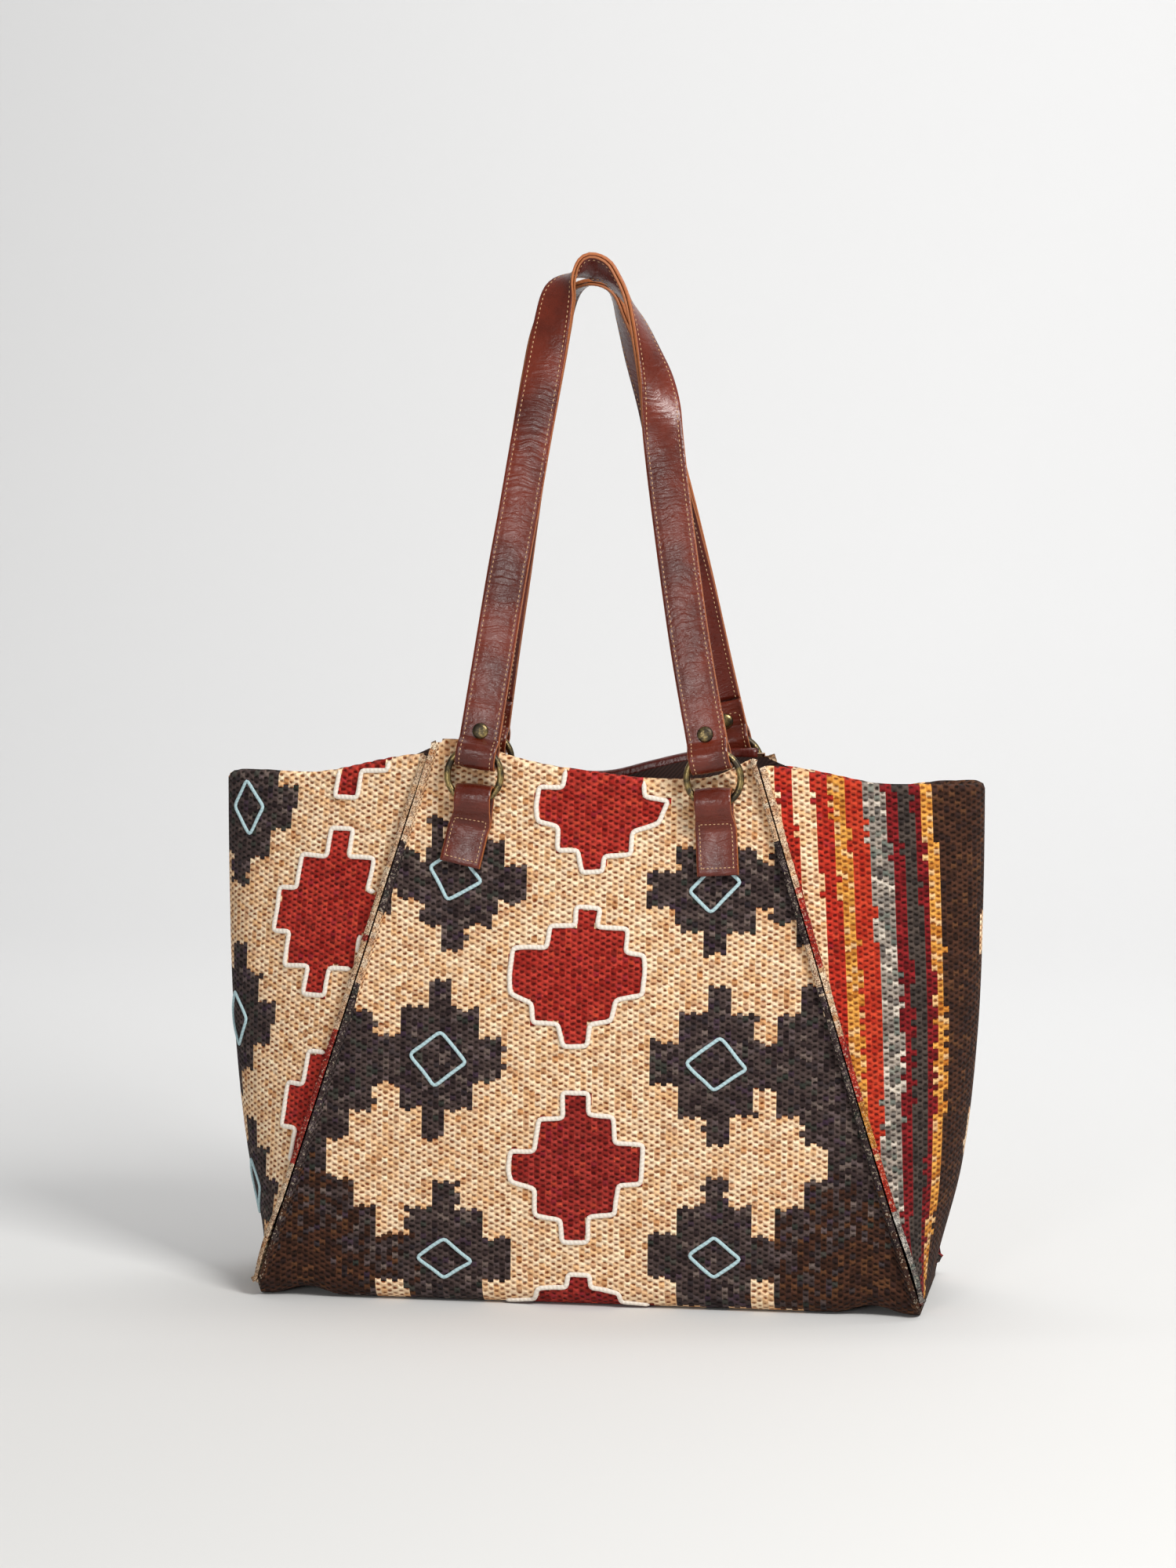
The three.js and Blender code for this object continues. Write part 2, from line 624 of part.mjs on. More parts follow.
function alongNormal(geometry, frame, upward) {
  const centre = frame.centre.clone().addScaledVector(upward, rivetRise);
  const turn = new THREE.Quaternion().setFromUnitVectors(vec(0, 1, 0), frame.normal);
  geometry.applyQuaternion(turn);
  geometry.translate(centre.x, centre.y, centre.z);
  return geometry;
}

function rivet(frame, upward) {
  const turnedProfile = new THREE.LatheGeometry(rivetProfile, 10);
  turnedProfile.deleteAttribute('uv');
  turnedProfile.deleteAttribute('normal');
  const closed = alongNormal(mergeVertices(turnedProfile, 1e-4), frame, upward);
  closed.computeVertexNormals();
  return closed;
}

const holeTool = (frame, upward) =>
  alongNormal(new THREE.CylinderGeometry(rivetPostRadius + 0.3, rivetPostRadius + 0.3, 8, 10), frame, upward);

// The strap goes round both rings; the backing lies between its tails. Stations are closer at the top.
function handle(line) {
  const left = line.frameAt(0);
  const right = line.frameAt(1);
  const leftUp = left.along.clone();
  const rightUp = right.along.clone().negate();
  const stops = range(-1, 1, 44).map((k) =>
    mix(30, line.length - 30, 0.5 + 0.5 * Math.sign(k) * Math.abs(k) ** 1.3));
  const middleStations = (lengths, offset, width) => lengths.map((length) => {
    const { centre, across, normal } = line.frameAtLength(length);
    return { centre: centre.addScaledVector(normal, offset), across, normal, width };
  });
  const solidStrap = strip([
    ...endStations(left, leftUp).reverse(),
    ...middleStations(stops, plyOffset, strapWidth),
    ...endStations(right, rightUp),
  ], strapThickness);
  const backingOffset = plyOffset - (strapThickness + backingThickness) / 2 - plyGap;
  const backingEnds = [tailEnd + 1, ...stops, line.length - tailEnd - 1];
  return {
    strap: cut(cut(solidStrap, holeTool(left, leftUp)), holeTool(right, rightUp)),
    backing: strip(middleStations(backingEnds, backingOffset, strapWidth - 0.4), backingThickness),
    leftRivet: rivet(left, leftUp),
    rightRivet: rivet(right, rightUp),
  };
}

for (const [place, side, leftX] of sides) {
  const parts = handle(handleLine(leftX, ringRight, side < 0 ? frontKeys : backKeys));
  const placed = (geometry) => (side < 0 ? geometry : turned(geometry));
  add(`${place}_strap`, placed(parts.strap), leather);
  add(`${place}_strap_backing`, placed(parts.backing), leather);
  add(`${place}_left_rivet`, placed(parts.leftRivet), brass);
  add(`${place}_right_rivet`, placed(parts.rightRivet), brass);
}

export default bag;
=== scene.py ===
# %% [markdown]
# # A kilim handbag
# The bag is sewn from three pieces of hand-woven kilim: one long strip that is the front, the base and the
# back, and two wings at the sides. Leather tabs hold brass rings, and two leather handles hang in the rings.
# The CAD frame gives the sizes. This lesson dresses it, piece by piece, in the same coordinates.

# %% Frame and tools
import math
import random
from functools import lru_cache

import bmesh
import bpy
from mathutils import Matrix, Vector, noise


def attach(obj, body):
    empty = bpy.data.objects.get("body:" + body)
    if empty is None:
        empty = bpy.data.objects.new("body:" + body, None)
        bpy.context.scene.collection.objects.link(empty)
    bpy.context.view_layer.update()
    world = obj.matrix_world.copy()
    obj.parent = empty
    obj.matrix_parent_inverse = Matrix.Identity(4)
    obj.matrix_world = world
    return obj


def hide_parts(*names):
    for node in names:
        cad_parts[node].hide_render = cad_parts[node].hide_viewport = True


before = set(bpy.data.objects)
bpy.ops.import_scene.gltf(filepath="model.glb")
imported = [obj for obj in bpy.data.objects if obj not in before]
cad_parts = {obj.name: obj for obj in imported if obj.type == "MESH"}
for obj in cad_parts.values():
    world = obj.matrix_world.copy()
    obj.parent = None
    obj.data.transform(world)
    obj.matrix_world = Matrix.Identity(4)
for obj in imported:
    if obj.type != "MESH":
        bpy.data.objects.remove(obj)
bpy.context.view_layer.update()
MM = 0.001

# %% [markdown]
# ## Camera
# The picture was taken with a long lens from a little right of the middle and slightly above the rim.
# A camera can be placed by eye, but here its place was worked out once from points that are known on the bag,
# and is written down as numbers.

# %% Camera
CAMERA_LENS = 100.34
CAMERA_TURN = math.radians(8.88)
CAMERA_DISTANCE = 2.67158
CAMERA_HEIGHT = 0.58826
AIM_ACROSS = -0.00856
AIM_HEIGHT = 0.31209


def make_camera():
    lens = bpy.data.cameras.new("bag_camera")
    lens.lens = CAMERA_LENS
    camera = bpy.data.objects.new("bag_camera", lens)
    bpy.context.scene.collection.objects.link(camera)
    camera.location = (
        CAMERA_DISTANCE * math.sin(CAMERA_TURN),
        -CAMERA_DISTANCE * math.cos(CAMERA_TURN),
        CAMERA_HEIGHT,
    )
    aim = Vector((AIM_ACROSS * math.cos(CAMERA_TURN), AIM_ACROSS * math.sin(CAMERA_TURN), AIM_HEIGHT))
    camera.rotation_euler = (aim - camera.location).to_track_quat("-Z", "Y").to_euler()
    bpy.context.scene.camera = camera
    return camera


photo_camera = make_camera()
bpy.context.scene.view_settings.view_transform = "Standard"
print("camera at", [round(v, 3) for v in photo_camera.location])

# %% [markdown]
# ## A shorthand for finishes
# Every finish is a small network of nodes. Wiring each node by hand is long, so two small classes help:
# Signal is one output that can be added and multiplied like a number, and Finish adds any node in one call.


# %% Shader shorthand
class Signal:
    """An output of a finish. Arithmetic on signals adds Math nodes."""

    def __init__(self, finish, socket):
        self.finish = finish
        self.socket = socket

    def maths(self, operation, first, second=0.0):
        return self.finish.node("ShaderNodeMath", {"operation": operation}, {0: first, 1: second})

    def __add__(self, other):
        return self.maths("ADD", self, other)

    __radd__ = __add__

    def __sub__(self, other):
        return self.maths("SUBTRACT", self, other)

    def __rsub__(self, other):
        return self.maths("SUBTRACT", other, self)

    def __mul__(self, other):
        return self.maths("MULTIPLY", self, other)

    __rmul__ = __mul__

    def wave(self):
        return self.maths("SINE", self)


class Finish:
    """A material under construction."""

    def __init__(self, name):
        self.material = bpy.data.materials.new(name)
        self.material.use_nodes = True
        self.tree = self.material.node_tree
        self.surface = self.tree.nodes["Principled BSDF"]

    def feed(self, socket, value):
        if isinstance(value, Signal):
            self.tree.links.new(value.socket, socket)
        else:
            socket.default_value = value

    def node(self, kind, settings=None, sockets=None, give=0):
        made = self.tree.nodes.new(kind)
        for name, value in (settings or {}).items():
            setattr(made, name, value)
        for name, value in (sockets or {}).items():
            self.feed(made.inputs[name], value)
        return Signal(self, made.outputs[give])

    def mix(self, factor, first, second, blend="MIX"):
        settings = {"data_type": "RGBA", "blend_type": blend}
        return self.node("ShaderNodeMix", settings, {0: factor, 6: first, 7: second}, give=2)

    def ease(self, value, low, high):
        settings = {"interpolation_type": "SMOOTHSTEP"}
        return self.node("ShaderNodeMapRange", settings, {0: value, 1: low, 2: high, 3: 0.0, 4: 1.0})

    def spot(self):
        return self.node("ShaderNodeTexCoord", give="Object")

    def grain(self, scale, detail=2.0, vector=None, rough=0.5):
        if vector is None:
            vector = self.spot()
        sockets = {"Scale": scale, "Detail": detail, "Roughness": rough, "Vector": vector}
        return self.node("ShaderNodeTexNoise", None, sockets, "Fac")

    def tint(self, layer):
        return self.node("ShaderNodeVertexColor", {"layer_name": layer})

    def map_of(self, name):
        where = self.node("ShaderNodeUVMap", {"uv_map": name})
        parts = self.node("ShaderNodeSeparateXYZ", None, {0: where})
        return parts, Signal(self, parts.socket.node.outputs[1])

    def stretch(self, first, second):
        return self.node("ShaderNodeCombineXYZ", None, {0: first, 1: second})

    def relief(self, height, distance):
        sockets = {"Strength": 1.0, "Distance": distance, "Height": height}
        return self.node("ShaderNodeBump", None, sockets)

    def shade(self, sockets):
        for name, value in sockets.items():
            self.feed(self.surface.inputs[name], value)
        return self.material


def dye(text):
    """A colour written as six hex digits, as linear light."""
    parts = [int(text[i:i + 2], 16) / 255 for i in (0, 2, 4)]
    return tuple(c / 12.92 if c <= 0.04045 else ((c + 0.055) / 1.055) ** 2.4 for c in parts) + (1.0,)


print("a mid grey is written", [round(c, 3) for c in dye("808080")])

# %% [markdown]
# ## Floor and light
# A studio cove is one sheet that is floor in front and wall behind, so no line shows where they meet. Its
# back is clear, so that a camera behind the wall sees the bag too.
# It starts as a flat grid that is bent upwards. Soft area lamps light the bag from the upper right and the
# front, which puts the soft shadow to its left.

# %% Floor and backdrop
COVE_HALF_WIDTH = 4.0
COVE_FRONT = -4.5
COVE_BEND = 1.5
COVE_RADIUS = 1.2
COVE_LENGTH = 10.0
COVE_DROP = 0.0004
WORLD_STRENGTH = 0.3


def cove_point(x, along):
    y = COVE_FRONT + along
    over = y - COVE_BEND
    if over <= 0:
        return Vector((x, y, -COVE_DROP))
    angle = min(over / COVE_RADIUS, math.pi / 2)
    climb = max(over - COVE_RADIUS * math.pi / 2, 0)
    forward = COVE_BEND + COVE_RADIUS * math.sin(angle)
    return Vector((x, forward, COVE_RADIUS * (1 - math.cos(angle)) + climb))


def make_cove():
    bm = bmesh.new()
    bmesh.ops.create_grid(bm, x_segments=8, y_segments=80, size=1)
    for vert in bm.verts:
        vert.co = cove_point(vert.co.x * COVE_HALF_WIDTH, (vert.co.y + 1) / 2 * COVE_LENGTH)
    mesh = bpy.data.meshes.new("studio_cove")
    bm.to_mesh(mesh)
    bm.free()
    mesh.shade_smooth()
    cove = bpy.data.objects.new("studio_cove", mesh)
    bpy.context.scene.collection.objects.link(cove)
    paper = Finish("studio_paper")
    depth = paper.node("ShaderNodeSeparateXYZ", None, {"Vector": paper.spot()}, "Y")
    cloudy = paper.grain(0.8, 1.0) * 0.2 - 0.1
    # Painted light: the paper is painted darker near the front and lighter towards the wall, in soft clouds.
    tone = paper.mix(paper.ease(depth + cloudy, -0.6, 1.6), dye("D8D8D7"), dye("E6E6E6"))
    see_through = paper.node("ShaderNodeNewGeometry", give="Backfacing")
    mesh.materials.append(paper.shade({
        "Base Color": tone,
        "Roughness": 0.9,
        "Specular IOR Level": 0.1,
        "Alpha": 1.0 - see_through,
    }))


make_cove()


def area_lamp(name, place, aim, size, watts, colour):
    lamp = bpy.data.lights.new(name, "AREA")
    lamp.shape = "RECTANGLE"
    lamp.size, lamp.size_y = size
    lamp.energy = watts
    lamp.color = colour
    holder = bpy.data.objects.new(name, lamp)
    holder.location = place
    holder.rotation_euler = (Vector(aim) - Vector(place)).to_track_quat("-Z", "Y").to_euler()
    bpy.context.scene.collection.objects.link(holder)


area_lamp("key_softbox", (1.15, -1.2, 1.6), (0, 0, 0.3), (0.7, 0.7), 40, (1.0, 0.985, 0.96))
area_lamp("front_sheen", (-0.45, -2.7, 0.6), (0, 0, 0.3), (0.45, 0.45), 15, (1.0, 0.99, 0.98))
area_lamp("overhead", (0.3, 0.4, 2.3), (0, 0, 0), (2.2, 2.2), 11, (1.0, 1.0, 1.0))
area_lamp("backdrop_wash", (0.5, 0.7, 2.4), (0.1, 2.7, 0.9), (2.6, 0.8), 37, (1.0, 1.0, 1.0))
world = bpy.data.worlds.new("studio")
world.use_nodes = True
sky = world.node_tree.nodes["Background"]
sky.inputs["Color"].default_value = dye("F2F2F2")
sky.inputs["Strength"].default_value = WORLD_STRENGTH
bpy.context.scene.world = world
print("stage set with", len(bpy.data.lights), "lamps")

# %% [markdown]
# ## The bag's plan
# These are the CAD's driving sizes, in millimetres. Only the rims differ a little: they follow the dips and
# the high corner seen in the picture more closely. The strip and the wings are first woven flat, in cloth
# coordinates, and then bent into place by these functions, so the weave and the pattern follow every fold.

# %% Plan of the bag
CLOTH = 3.4
HALF = CLOTH / 2
SEAM_GAP = 1.0
LIP_REACH = 6.0
LIP_BEND = 2.6
BODY_HEIGHT = 330.0
BASE_HALF_WIDTH = 203.5
RIM_HALF_WIDTH = 101.0
BASE_HALF_DEPTH = 66.0
RIM_HALF_DEPTH = 37.5
FOLD_RADIUS = 10.0
FOLD_TOP = FOLD_RADIUS + HALF
BASE_EDGE = BASE_HALF_DEPTH - FOLD_RADIUS
FOLD_LENGTH = FOLD_RADIUS * math.pi / 2
STRIP_MIDDLE = FOLD_LENGTH + BASE_EDGE
WING_CURVE = 2.4
WING_HALF_WIDTHS = (204, 223, 232, 234.6, 235)
FRONT_RIM = (342, 341, 332.5, 327, 324, 321, 320, 322.5, 334)
BACK_RIM = (320, 317, 315, 314, 315, 321.5, 327.5, 330, 330)
LEFT_RIM = (333, 320.5, 320, 318.5, 315.5, 314.5, 313, 312.5, 317)
RIGHT_RIM = (329, 318.5, 317.5, 317, 317, 317.5, 316, 312.5, 322)
WING_RIMS = {-1: LEFT_RIM, 1: RIGHT_RIM}
RIM_LEVEL = 316.0
LEAST_REACH = 1.0
WING_STEPS = 60
WING_FOOT = 5.6
FOOT_GAP = 1
FOOT_TURN_LOST = 0.7
BELLY = 5
LIFT = 5
LIFT_START = 150
LIFT_LENGTH = 48
LIFT_FADE = 60
FLAT_TURN = 0.02
HEM_ROLL = 1.9
HEM_DEPTH = 15.0


def mix(a, b, t):
    return a + (b - a) * t


def clamp(value, low=0.0, high=1.0):
    return min(max(value, low), high)


def through(values, u):
    """A smooth curve through evenly spaced values, for u from 0 to 1."""
    at = clamp(u) * (len(values) - 1)
    i = min(int(at), len(values) - 2)
    t = at - i
    a, b = values[i], values[i + 1]
    rise = (b - values[max(i - 1, 0)]) / 2
    fall = (values[min(i + 2, len(values) - 1)] - a) / 2
    return (a * (2 * t**3 - 3 * t**2 + 1) + rise * (t**3 - 2 * t**2 + t)
            + b * (3 * t**2 - 2 * t**3) + fall * (t**3 - t**2))


def half_width(z):
    return mix(BASE_HALF_WIDTH, RIM_HALF_WIDTH, z / BODY_HEIGHT)


def half_depth(z):
    return mix(BASE_HALF_DEPTH, RIM_HALF_DEPTH, max(z - FOLD_TOP, 0) / (BODY_HEIGHT - FOLD_TOP))


def reach(z):
    return max(through(WING_HALF_WIDTHS, z / BODY_HEIGHT) - HALF - half_width(z), LEAST_REACH)


def belly(s, z):
    return BELLY * (1 - s * s) * math.sin(math.pi * clamp(z / BODY_HEIGHT))


def lift(x, z):
    """Near both ends of the base the cloth stands a little off the floor."""
    hump = math.sin(math.pi * clamp((abs(x) - LIFT_START) / LIFT_LENGTH)) ** 2
    return LIFT * hump * max(0.0, 1 - z / LIFT_FADE)


def strip_rim(rims, u):
    """Height of a rim of the strip over point u of its width."""
    return through(rims, (u / RIM_HALF_WIDTH + 1) / 2)


@lru_cache(maxsize=None)
def seam(z):
    """How far the corners keep from the seam, the way the wing leaves it, and the way the lips stand out."""
    away = Vector((WING_CURVE * reach(z), half_depth(z))).normalized()
    fin = Vector((away.y, -1 - away.x)).normalized()
    return (CLOTH + SEAM_GAP) / 2 / -fin.y, away, fin


FOLD_SETBACK, _, FOLD_FIN = seam(FOLD_TOP)


def lip(across, corner, turn):
    """Past the seam corner the cloth turns out.

    Gives where the bend starts, then how far on, how far out, and its angle.
    """
    if turn < FLAT_TURN:
        return across, 0.0, 0.0, 0.0
    start = corner - LIP_BEND * math.tan(turn / 2)
    past = across - start
    if past <= 0:
        return across, 0.0, 0.0, 0.0
    angle = min(past / LIP_BEND, turn)
    straight = max(past - LIP_BEND * turn, 0.0)
    on = LIP_BEND * math.sin(angle) + straight * math.cos(turn)
    out = LIP_BEND * (1 - math.cos(angle)) + straight * math.sin(turn)
    return start, on, out, angle


def hem(z, rim):
    """The rim is rolled over to the inside.

    Gives the wall's height, then how far up, how far in, and the roll's angle.
    """
    start = rim - HEM_ROLL - HALF
    over = z - start
    if over <= 0:
        return z, 0.0, 0.0, 0.0
    angle = min(over / HEM_ROLL, math.pi)
    down = max(over - HEM_ROLL * math.pi, 0.0)
    return start, HEM_ROLL * math.sin(angle) - down, HEM_ROLL * (1 - math.cos(angle)), angle


print("the strip is", round(2 * (STRIP_MIDDLE + 320)), "mm long and", round(2 * BASE_HALF_WIDTH), "mm wide")


# %% Bending the strip
def strip_corner(t):
    """Half width of the strip at cloth coordinate t, and the angle its lip turns through there."""
    t = max(t, -2 * STRIP_MIDDLE - t)
    if t >= 0:
        setback, _, fin = seam(round(FOLD_TOP + t, 1))
        return half_width(FOLD_TOP + t) - setback, math.acos(clamp(fin.x, -1, 1))
    down = clamp(-t / FOLD_LENGTH)
    z = FOLD_TOP - FOLD_RADIUS * math.sin(down * math.pi / 2)
    return half_width(z) - FOLD_SETBACK * (1 - down), math.acos(FOLD_FIN.x) * (1 - down)


def strip_point(u, t, proud=0.0):
    """Where point (u, t) of the flat strip lies on the bag.

    t is 0 at the top of the front fold and grows upwards.
    """
    behind = t < -STRIP_MIDDLE
    if behind:
        t = -2 * STRIP_MIDDLE - t
    rim = 2 * BODY_HEIGHT if behind else strip_rim(FRONT_RIM, u)
    z, up, inward, roll = hem(FOLD_TOP + t, rim)
    corner, turn = strip_corner(z - FOLD_TOP)
    start, on, out, angle = lip(abs(u), corner, turn)
    side = math.copysign(1, u)
    if t >= 0:
        normal = Vector((0, -1, 0))
        place = Vector((0, -half_depth(z) - belly(u / half_width(z), z), z))
    elif t > -FOLD_LENGTH:
        down = -t / FOLD_RADIUS
        normal = Vector((0, -math.cos(down), -math.sin(down)))
        place = Vector((0, -BASE_EDGE, FOLD_TOP)) + FOLD_RADIUS * normal
    else:
        normal = Vector((0, 0, -1))
        place = Vector((0, -BASE_EDGE - t - FOLD_LENGTH, HALF))
    face = Vector((-side * math.sin(angle), 0, 0)) + math.cos(angle) * normal
    face = math.cos(roll) * face + Vector((0, 0, math.sin(roll)))
    place.x = side * (start + on)
    place += (out - inward) * normal + (HALF + proud) * face
    place.z += up + lift(place.x, place.z)
    if behind:
        place.y = -place.y
    return place * MM


print("front rim at the middle:", [round(v * 1000, 1) for v in strip_point(0, 325 - FOLD_TOP)])


# %% Bending the wings
@lru_cache(maxsize=None)
def wing_row(z):
    """The wing's half outline at height z, from its tip to the seam.

    Gives its points, and the length of cloth up to each.
    """
    depth = half_depth(z)
    if z < FOLD_TOP:
        fall = math.asin(clamp((FOLD_TOP - z) / WING_FOOT))
        depth = BASE_EDGE + (FOLD_RADIUS - FOLD_SETBACK - FOOT_GAP) * math.cos(fall)
    points = []
    for i in range(WING_STEPS + 1):
        q = i / WING_STEPS
        points.append(Vector((half_width(z) + reach(z) * (1 - q**WING_CURVE), q * depth)))
    lengths = [0.0]
    for a, b in zip(points, points[1:]):
        lengths.append(lengths[-1] + (b - a).length)
    return points, lengths


def on_wing(z, length):
    """Point, direction and share of the half depth at this length of cloth from the wing's tip."""
    points, lengths = wing_row(z)
    length = clamp(length, 0.0, lengths[-1] - 1e-6)
    low, high = 0, len(points) - 2
    while low < high:
        middle = (low + high + 1) // 2
        if lengths[middle] <= length:
            low = middle
        else:
            high = middle - 1
    t = (length - lengths[low]) / (lengths[low + 1] - lengths[low])
    step = points[low + 1] - points[low]
    return points[low] + step * t, step.normalized(), (low + t) / (len(points) - 1)


def wing_corner(z):
    """Length of cloth from the tip to the seam corner at height z, and the angle the lip turns through."""
    level = max(round(z, 1), FOLD_TOP)
    setback, away, fin = seam(level)
    turn = math.acos(clamp(-away.dot(fin), -1, 1))
    fall = clamp((FOLD_TOP - z) / WING_FOOT)
    return wing_row(round(z, 1))[1][-1] - setback, turn * (1 - FOOT_TURN_LOST * fall)


def wing_rim(side, u, z=RIM_LEVEL):
    """Height of a wing's rim over point u of its cloth, measured along the wing at height z."""
    share = on_wing(z, abs(u))[2]
    return through(WING_RIMS[side], (math.copysign(share, u) + 1) / 2)


def wing_point(u, z, side, proud=0.0):
    """Where point (u, z) of a flat wing lies. u is measured from the tip line, negative towards the front."""
    rim = wing_rim(side, u, round(min(z, RIM_LEVEL), 1))
    z, up, inward, roll = hem(z, rim)
    level = round(z, 1)
    corner, turn = wing_corner(level)
    start, on, out, angle = lip(abs(u), corner, turn)
    place, along, _ = on_wing(level, start)
    face = Vector((along.y, -along.x))
    place = place + on * along + (out - inward) * face
    face = math.cos(angle) * face - math.sin(angle) * along
    spot = Vector((place.x, place.y, z + up))
    outward = math.cos(roll) * Vector((face.x, face.y, 0)) + Vector((0, 0, math.sin(roll)))
    spot += (HALF + proud) * outward
    return Vector((side * spot.x, math.copysign(spot.y, u), spot.z)) * MM


print("wing cloth from tip to seam, base and rim:", [round(wing_corner(z)[0]) for z in (15, 320)])

# %% [markdown]
# ## The kilim pattern
# The pattern is a traditional one: stepped medallions in red and in charcoal on a sand ground, and plain
# stripes on the right wing. A weaver makes it bead by bead, so the script does too. It asks for each bead of
# yarn which dye it has, and every edge comes out in the small steps of real weaving. Shader patterns alone
# would make the edges too clean.

# %% Yarns and motifs
BEAD = 3.5
ROW = 3.6
YARNS = {
    # light dye, deep dye, and the painted shade seen between the beads
    "sand": ("FDE6C6", "E8BC8C", "7A340C"),
    "crimson": ("BC3E34", "94241E", "500806"),
    "madder": ("A83A34", "80221F", "430706"),
    "charcoal": ("524645", "2E2426", "120B0C"),
    "umber": ("4E3226", "322019", "170D09"),
    "scarlet": ("C43A2A", "9A2018", "520C08"),
    "tomato": ("CA462E", "A62A1C", "60120B"),
    "gold": ("E2A650", "BE762C", "783810"),
    "ash": ("AEA59C", "6E6B68", "221C1E"),
    "maroon": ("8A2226", "601418", "2E0709"),
    "moss": ("514844", "322C2B", "161110"),
}
YARNS = {name: [dye(tone) for tone in tones] for name, tones in YARNS.items()}
STEPS = ((7.3, 48), (23.5, 31), (41, 13.5))
RED_OUTLINES = (
    # the four medallions of the front's middle column, from the rim down, as (x, z) corners in mm
    ("crimson", (
        (-15, 330), (-17.5, 314), (-32.4, 314), (-33.6, 303.5), (-32.5, 293.6), (-19.8, 290), (-20, 276),
        (-7, 276.6), (-4.8, 263), (8, 264), (8.4, 273), (25, 274.4), (25.8, 288), (41.5, 293.5), (47.4, 307),
        (32.6, 309), (31.8, 330),
    )),
    ("crimson", (
        (-7.4, 243), (7.4, 241.6), (5, 230.8), (24.1, 229.9), (23.2, 215.8), (34.1, 214.4), (34.6, 202.6),
        (33.7, 190.4), (17.4, 187.1), (15, 174), (1.2, 172.1), (0.7, 159), (-14.6, 158), (-17.9, 172.1),
        (-33.2, 172.1), (-34.2, 183.8), (-47.5, 189.5), (-48, 201.2), (-46.1, 217.2), (-25.6, 217.6),
        (-23.6, 230.8), (-7.9, 231.3),
    )),
    ("madder", (
        (-14.4, 130.5), (1.5, 130.5), (1.5, 117.5), (16.9, 116.5), (17.9, 100.7), (35.2, 100.2), (34.2, 76.1),
        (19.8, 75.1), (18.3, 57.3), (2.4, 55.4), (1.5, 39.5), (-13.9, 39.5), (-15, 53.1), (-30.5, 54.9),
        (-31.5, 71.5), (-45.3, 75.2), (-47.5, 83.5), (-46.2, 93.6), (-31.5, 94.5), (-28.7, 113.9),
        (-13.9, 115.1),
    )),
    ("madder", (
        (-10, 20), (3, 20), (4, 12), (21, 10), (22, 4), (41, 2), (40, -26), (22, -30), (3, -46), (2, -60),
        (-12, -60), (-13, -44), (-30, -30), (-50, -26), (-51, 2), (-31, 4), (-29, 11), (-11, 12),
    )),
)
DARKS = (
    # middle of each dark medallion, its height as a share of a full one, and its lean
    (-79, 255, 0.84, 0.1), (-92, 148.7, 1, 0.045), (-86.4, 27, 1, 0), (77.5, 254, 0.8, 0),
    (79.4, 149.2, 1, 0), (79, 33, 1, 0), (-146, 263, 0.84, 0.1), (-155, 146, 1, 0), (-152, 27, 1, 0),
    (134, 260, 0.8, 0), (138.6, 149.5, 1, 0), (139, 33, 1, 0), (-88, -86, 1, 0), (78, -86, 1, 0),
)
DARK_PATCHES = (
    # left, right, low and high edge of small dark blocks between the medallions
    (-99, -90, 278, 296), (-132, -122, 237, 258), (-172, -150, 48, 72),
)
BORDER_LEFT = -161
BORDER_RIGHT = 147
BORDER_TOP = 191
UMBER_EDGE = 95
UMBER_TOP = 95
UMBER_FADE = 70


def inside(corners, x, y):
    """True if a point lies inside a ring of corners."""
    found = False
    for (ax, ay), (bx, by) in zip(corners, corners[1:] + corners[:1]):
        if (ay > y) != (by > y) and x < (bx - ax) * (y - ay) / (by - ay) + ax:
            found = not found
    return found


def in_steps(dx, dy, steps=STEPS):
    return any(abs(dx) < wide and abs(dy) < tall for wide, tall in steps)


def front_yarn(x, z, luck):
    for yarn, corners in RED_OUTLINES:
        if inside(corners, x, z):
            return yarn
    dark = any(in_steps(x - cx - (z - cz) * lean, (z - cz) / tall) for cx, cz, tall, lean in DARKS)
    if z < BORDER_TOP and (x < BORDER_LEFT or x > BORDER_RIGHT):
        dark = True
    if any(left < x < right and low < z < high for left, right, low, high in DARK_PATCHES):
        dark = True
    if not dark:
        return "sand"
    brown = clamp((abs(x) - UMBER_EDGE) / UMBER_FADE) * clamp((UMBER_TOP - z) / UMBER_FADE)
    return "umber" if luck < brown else "charcoal"


def strip_yarn(u, t, luck):
    if t > -STRIP_MIDDLE:
        return front_yarn(u, t + FOLD_TOP, luck)
    return front_yarn(-u, -2 * STRIP_MIDDLE - t + FOLD_TOP, luck)


print("yarns:", ", ".join(YARNS))

# %% Wing motifs
RIGHT_STRIPES = (
    # each stripe's far edge on the front half, from the seam to the tip
    (-125, "sand"), (-116, "scarlet"), (-104, "sand"), (-94, "scarlet"), (-85, "gold"), (-74, "tomato"),
    (-61, "ash"), (-54, "maroon"), (-45, "moss"), (-40, "maroon"), (-33, "gold"), (0, "umber"),
)
STRIPE_BOW_HEIGHT = 165
STRIPE_BOW_REACH = 100
STRIPE_BOW = 3.0
BACK_STRIPE_SHIFT = 6
RIGHT_PATCHES = ((34, 226), (33, 104))
LEFT_REDS = ((-85, 235), (-97, 356), (-99, 116), (80, 237), (84, 116), (92, 356))
LEFT_RED_STEPS = ((7.3, 51), (24, 34), (35.5, 13.5))
LEFT_DARK_STEPS = ((7.3, 48), (20, 31), (34, 13.5))
LEFT_LEAN_OF_GRAIN = 0.11
LEFT_DARKS = ((-24, 297), (-17, 164), (-27, 56), (38, 297), (40, 164), (36, 56), (128, 297), (112, 164))


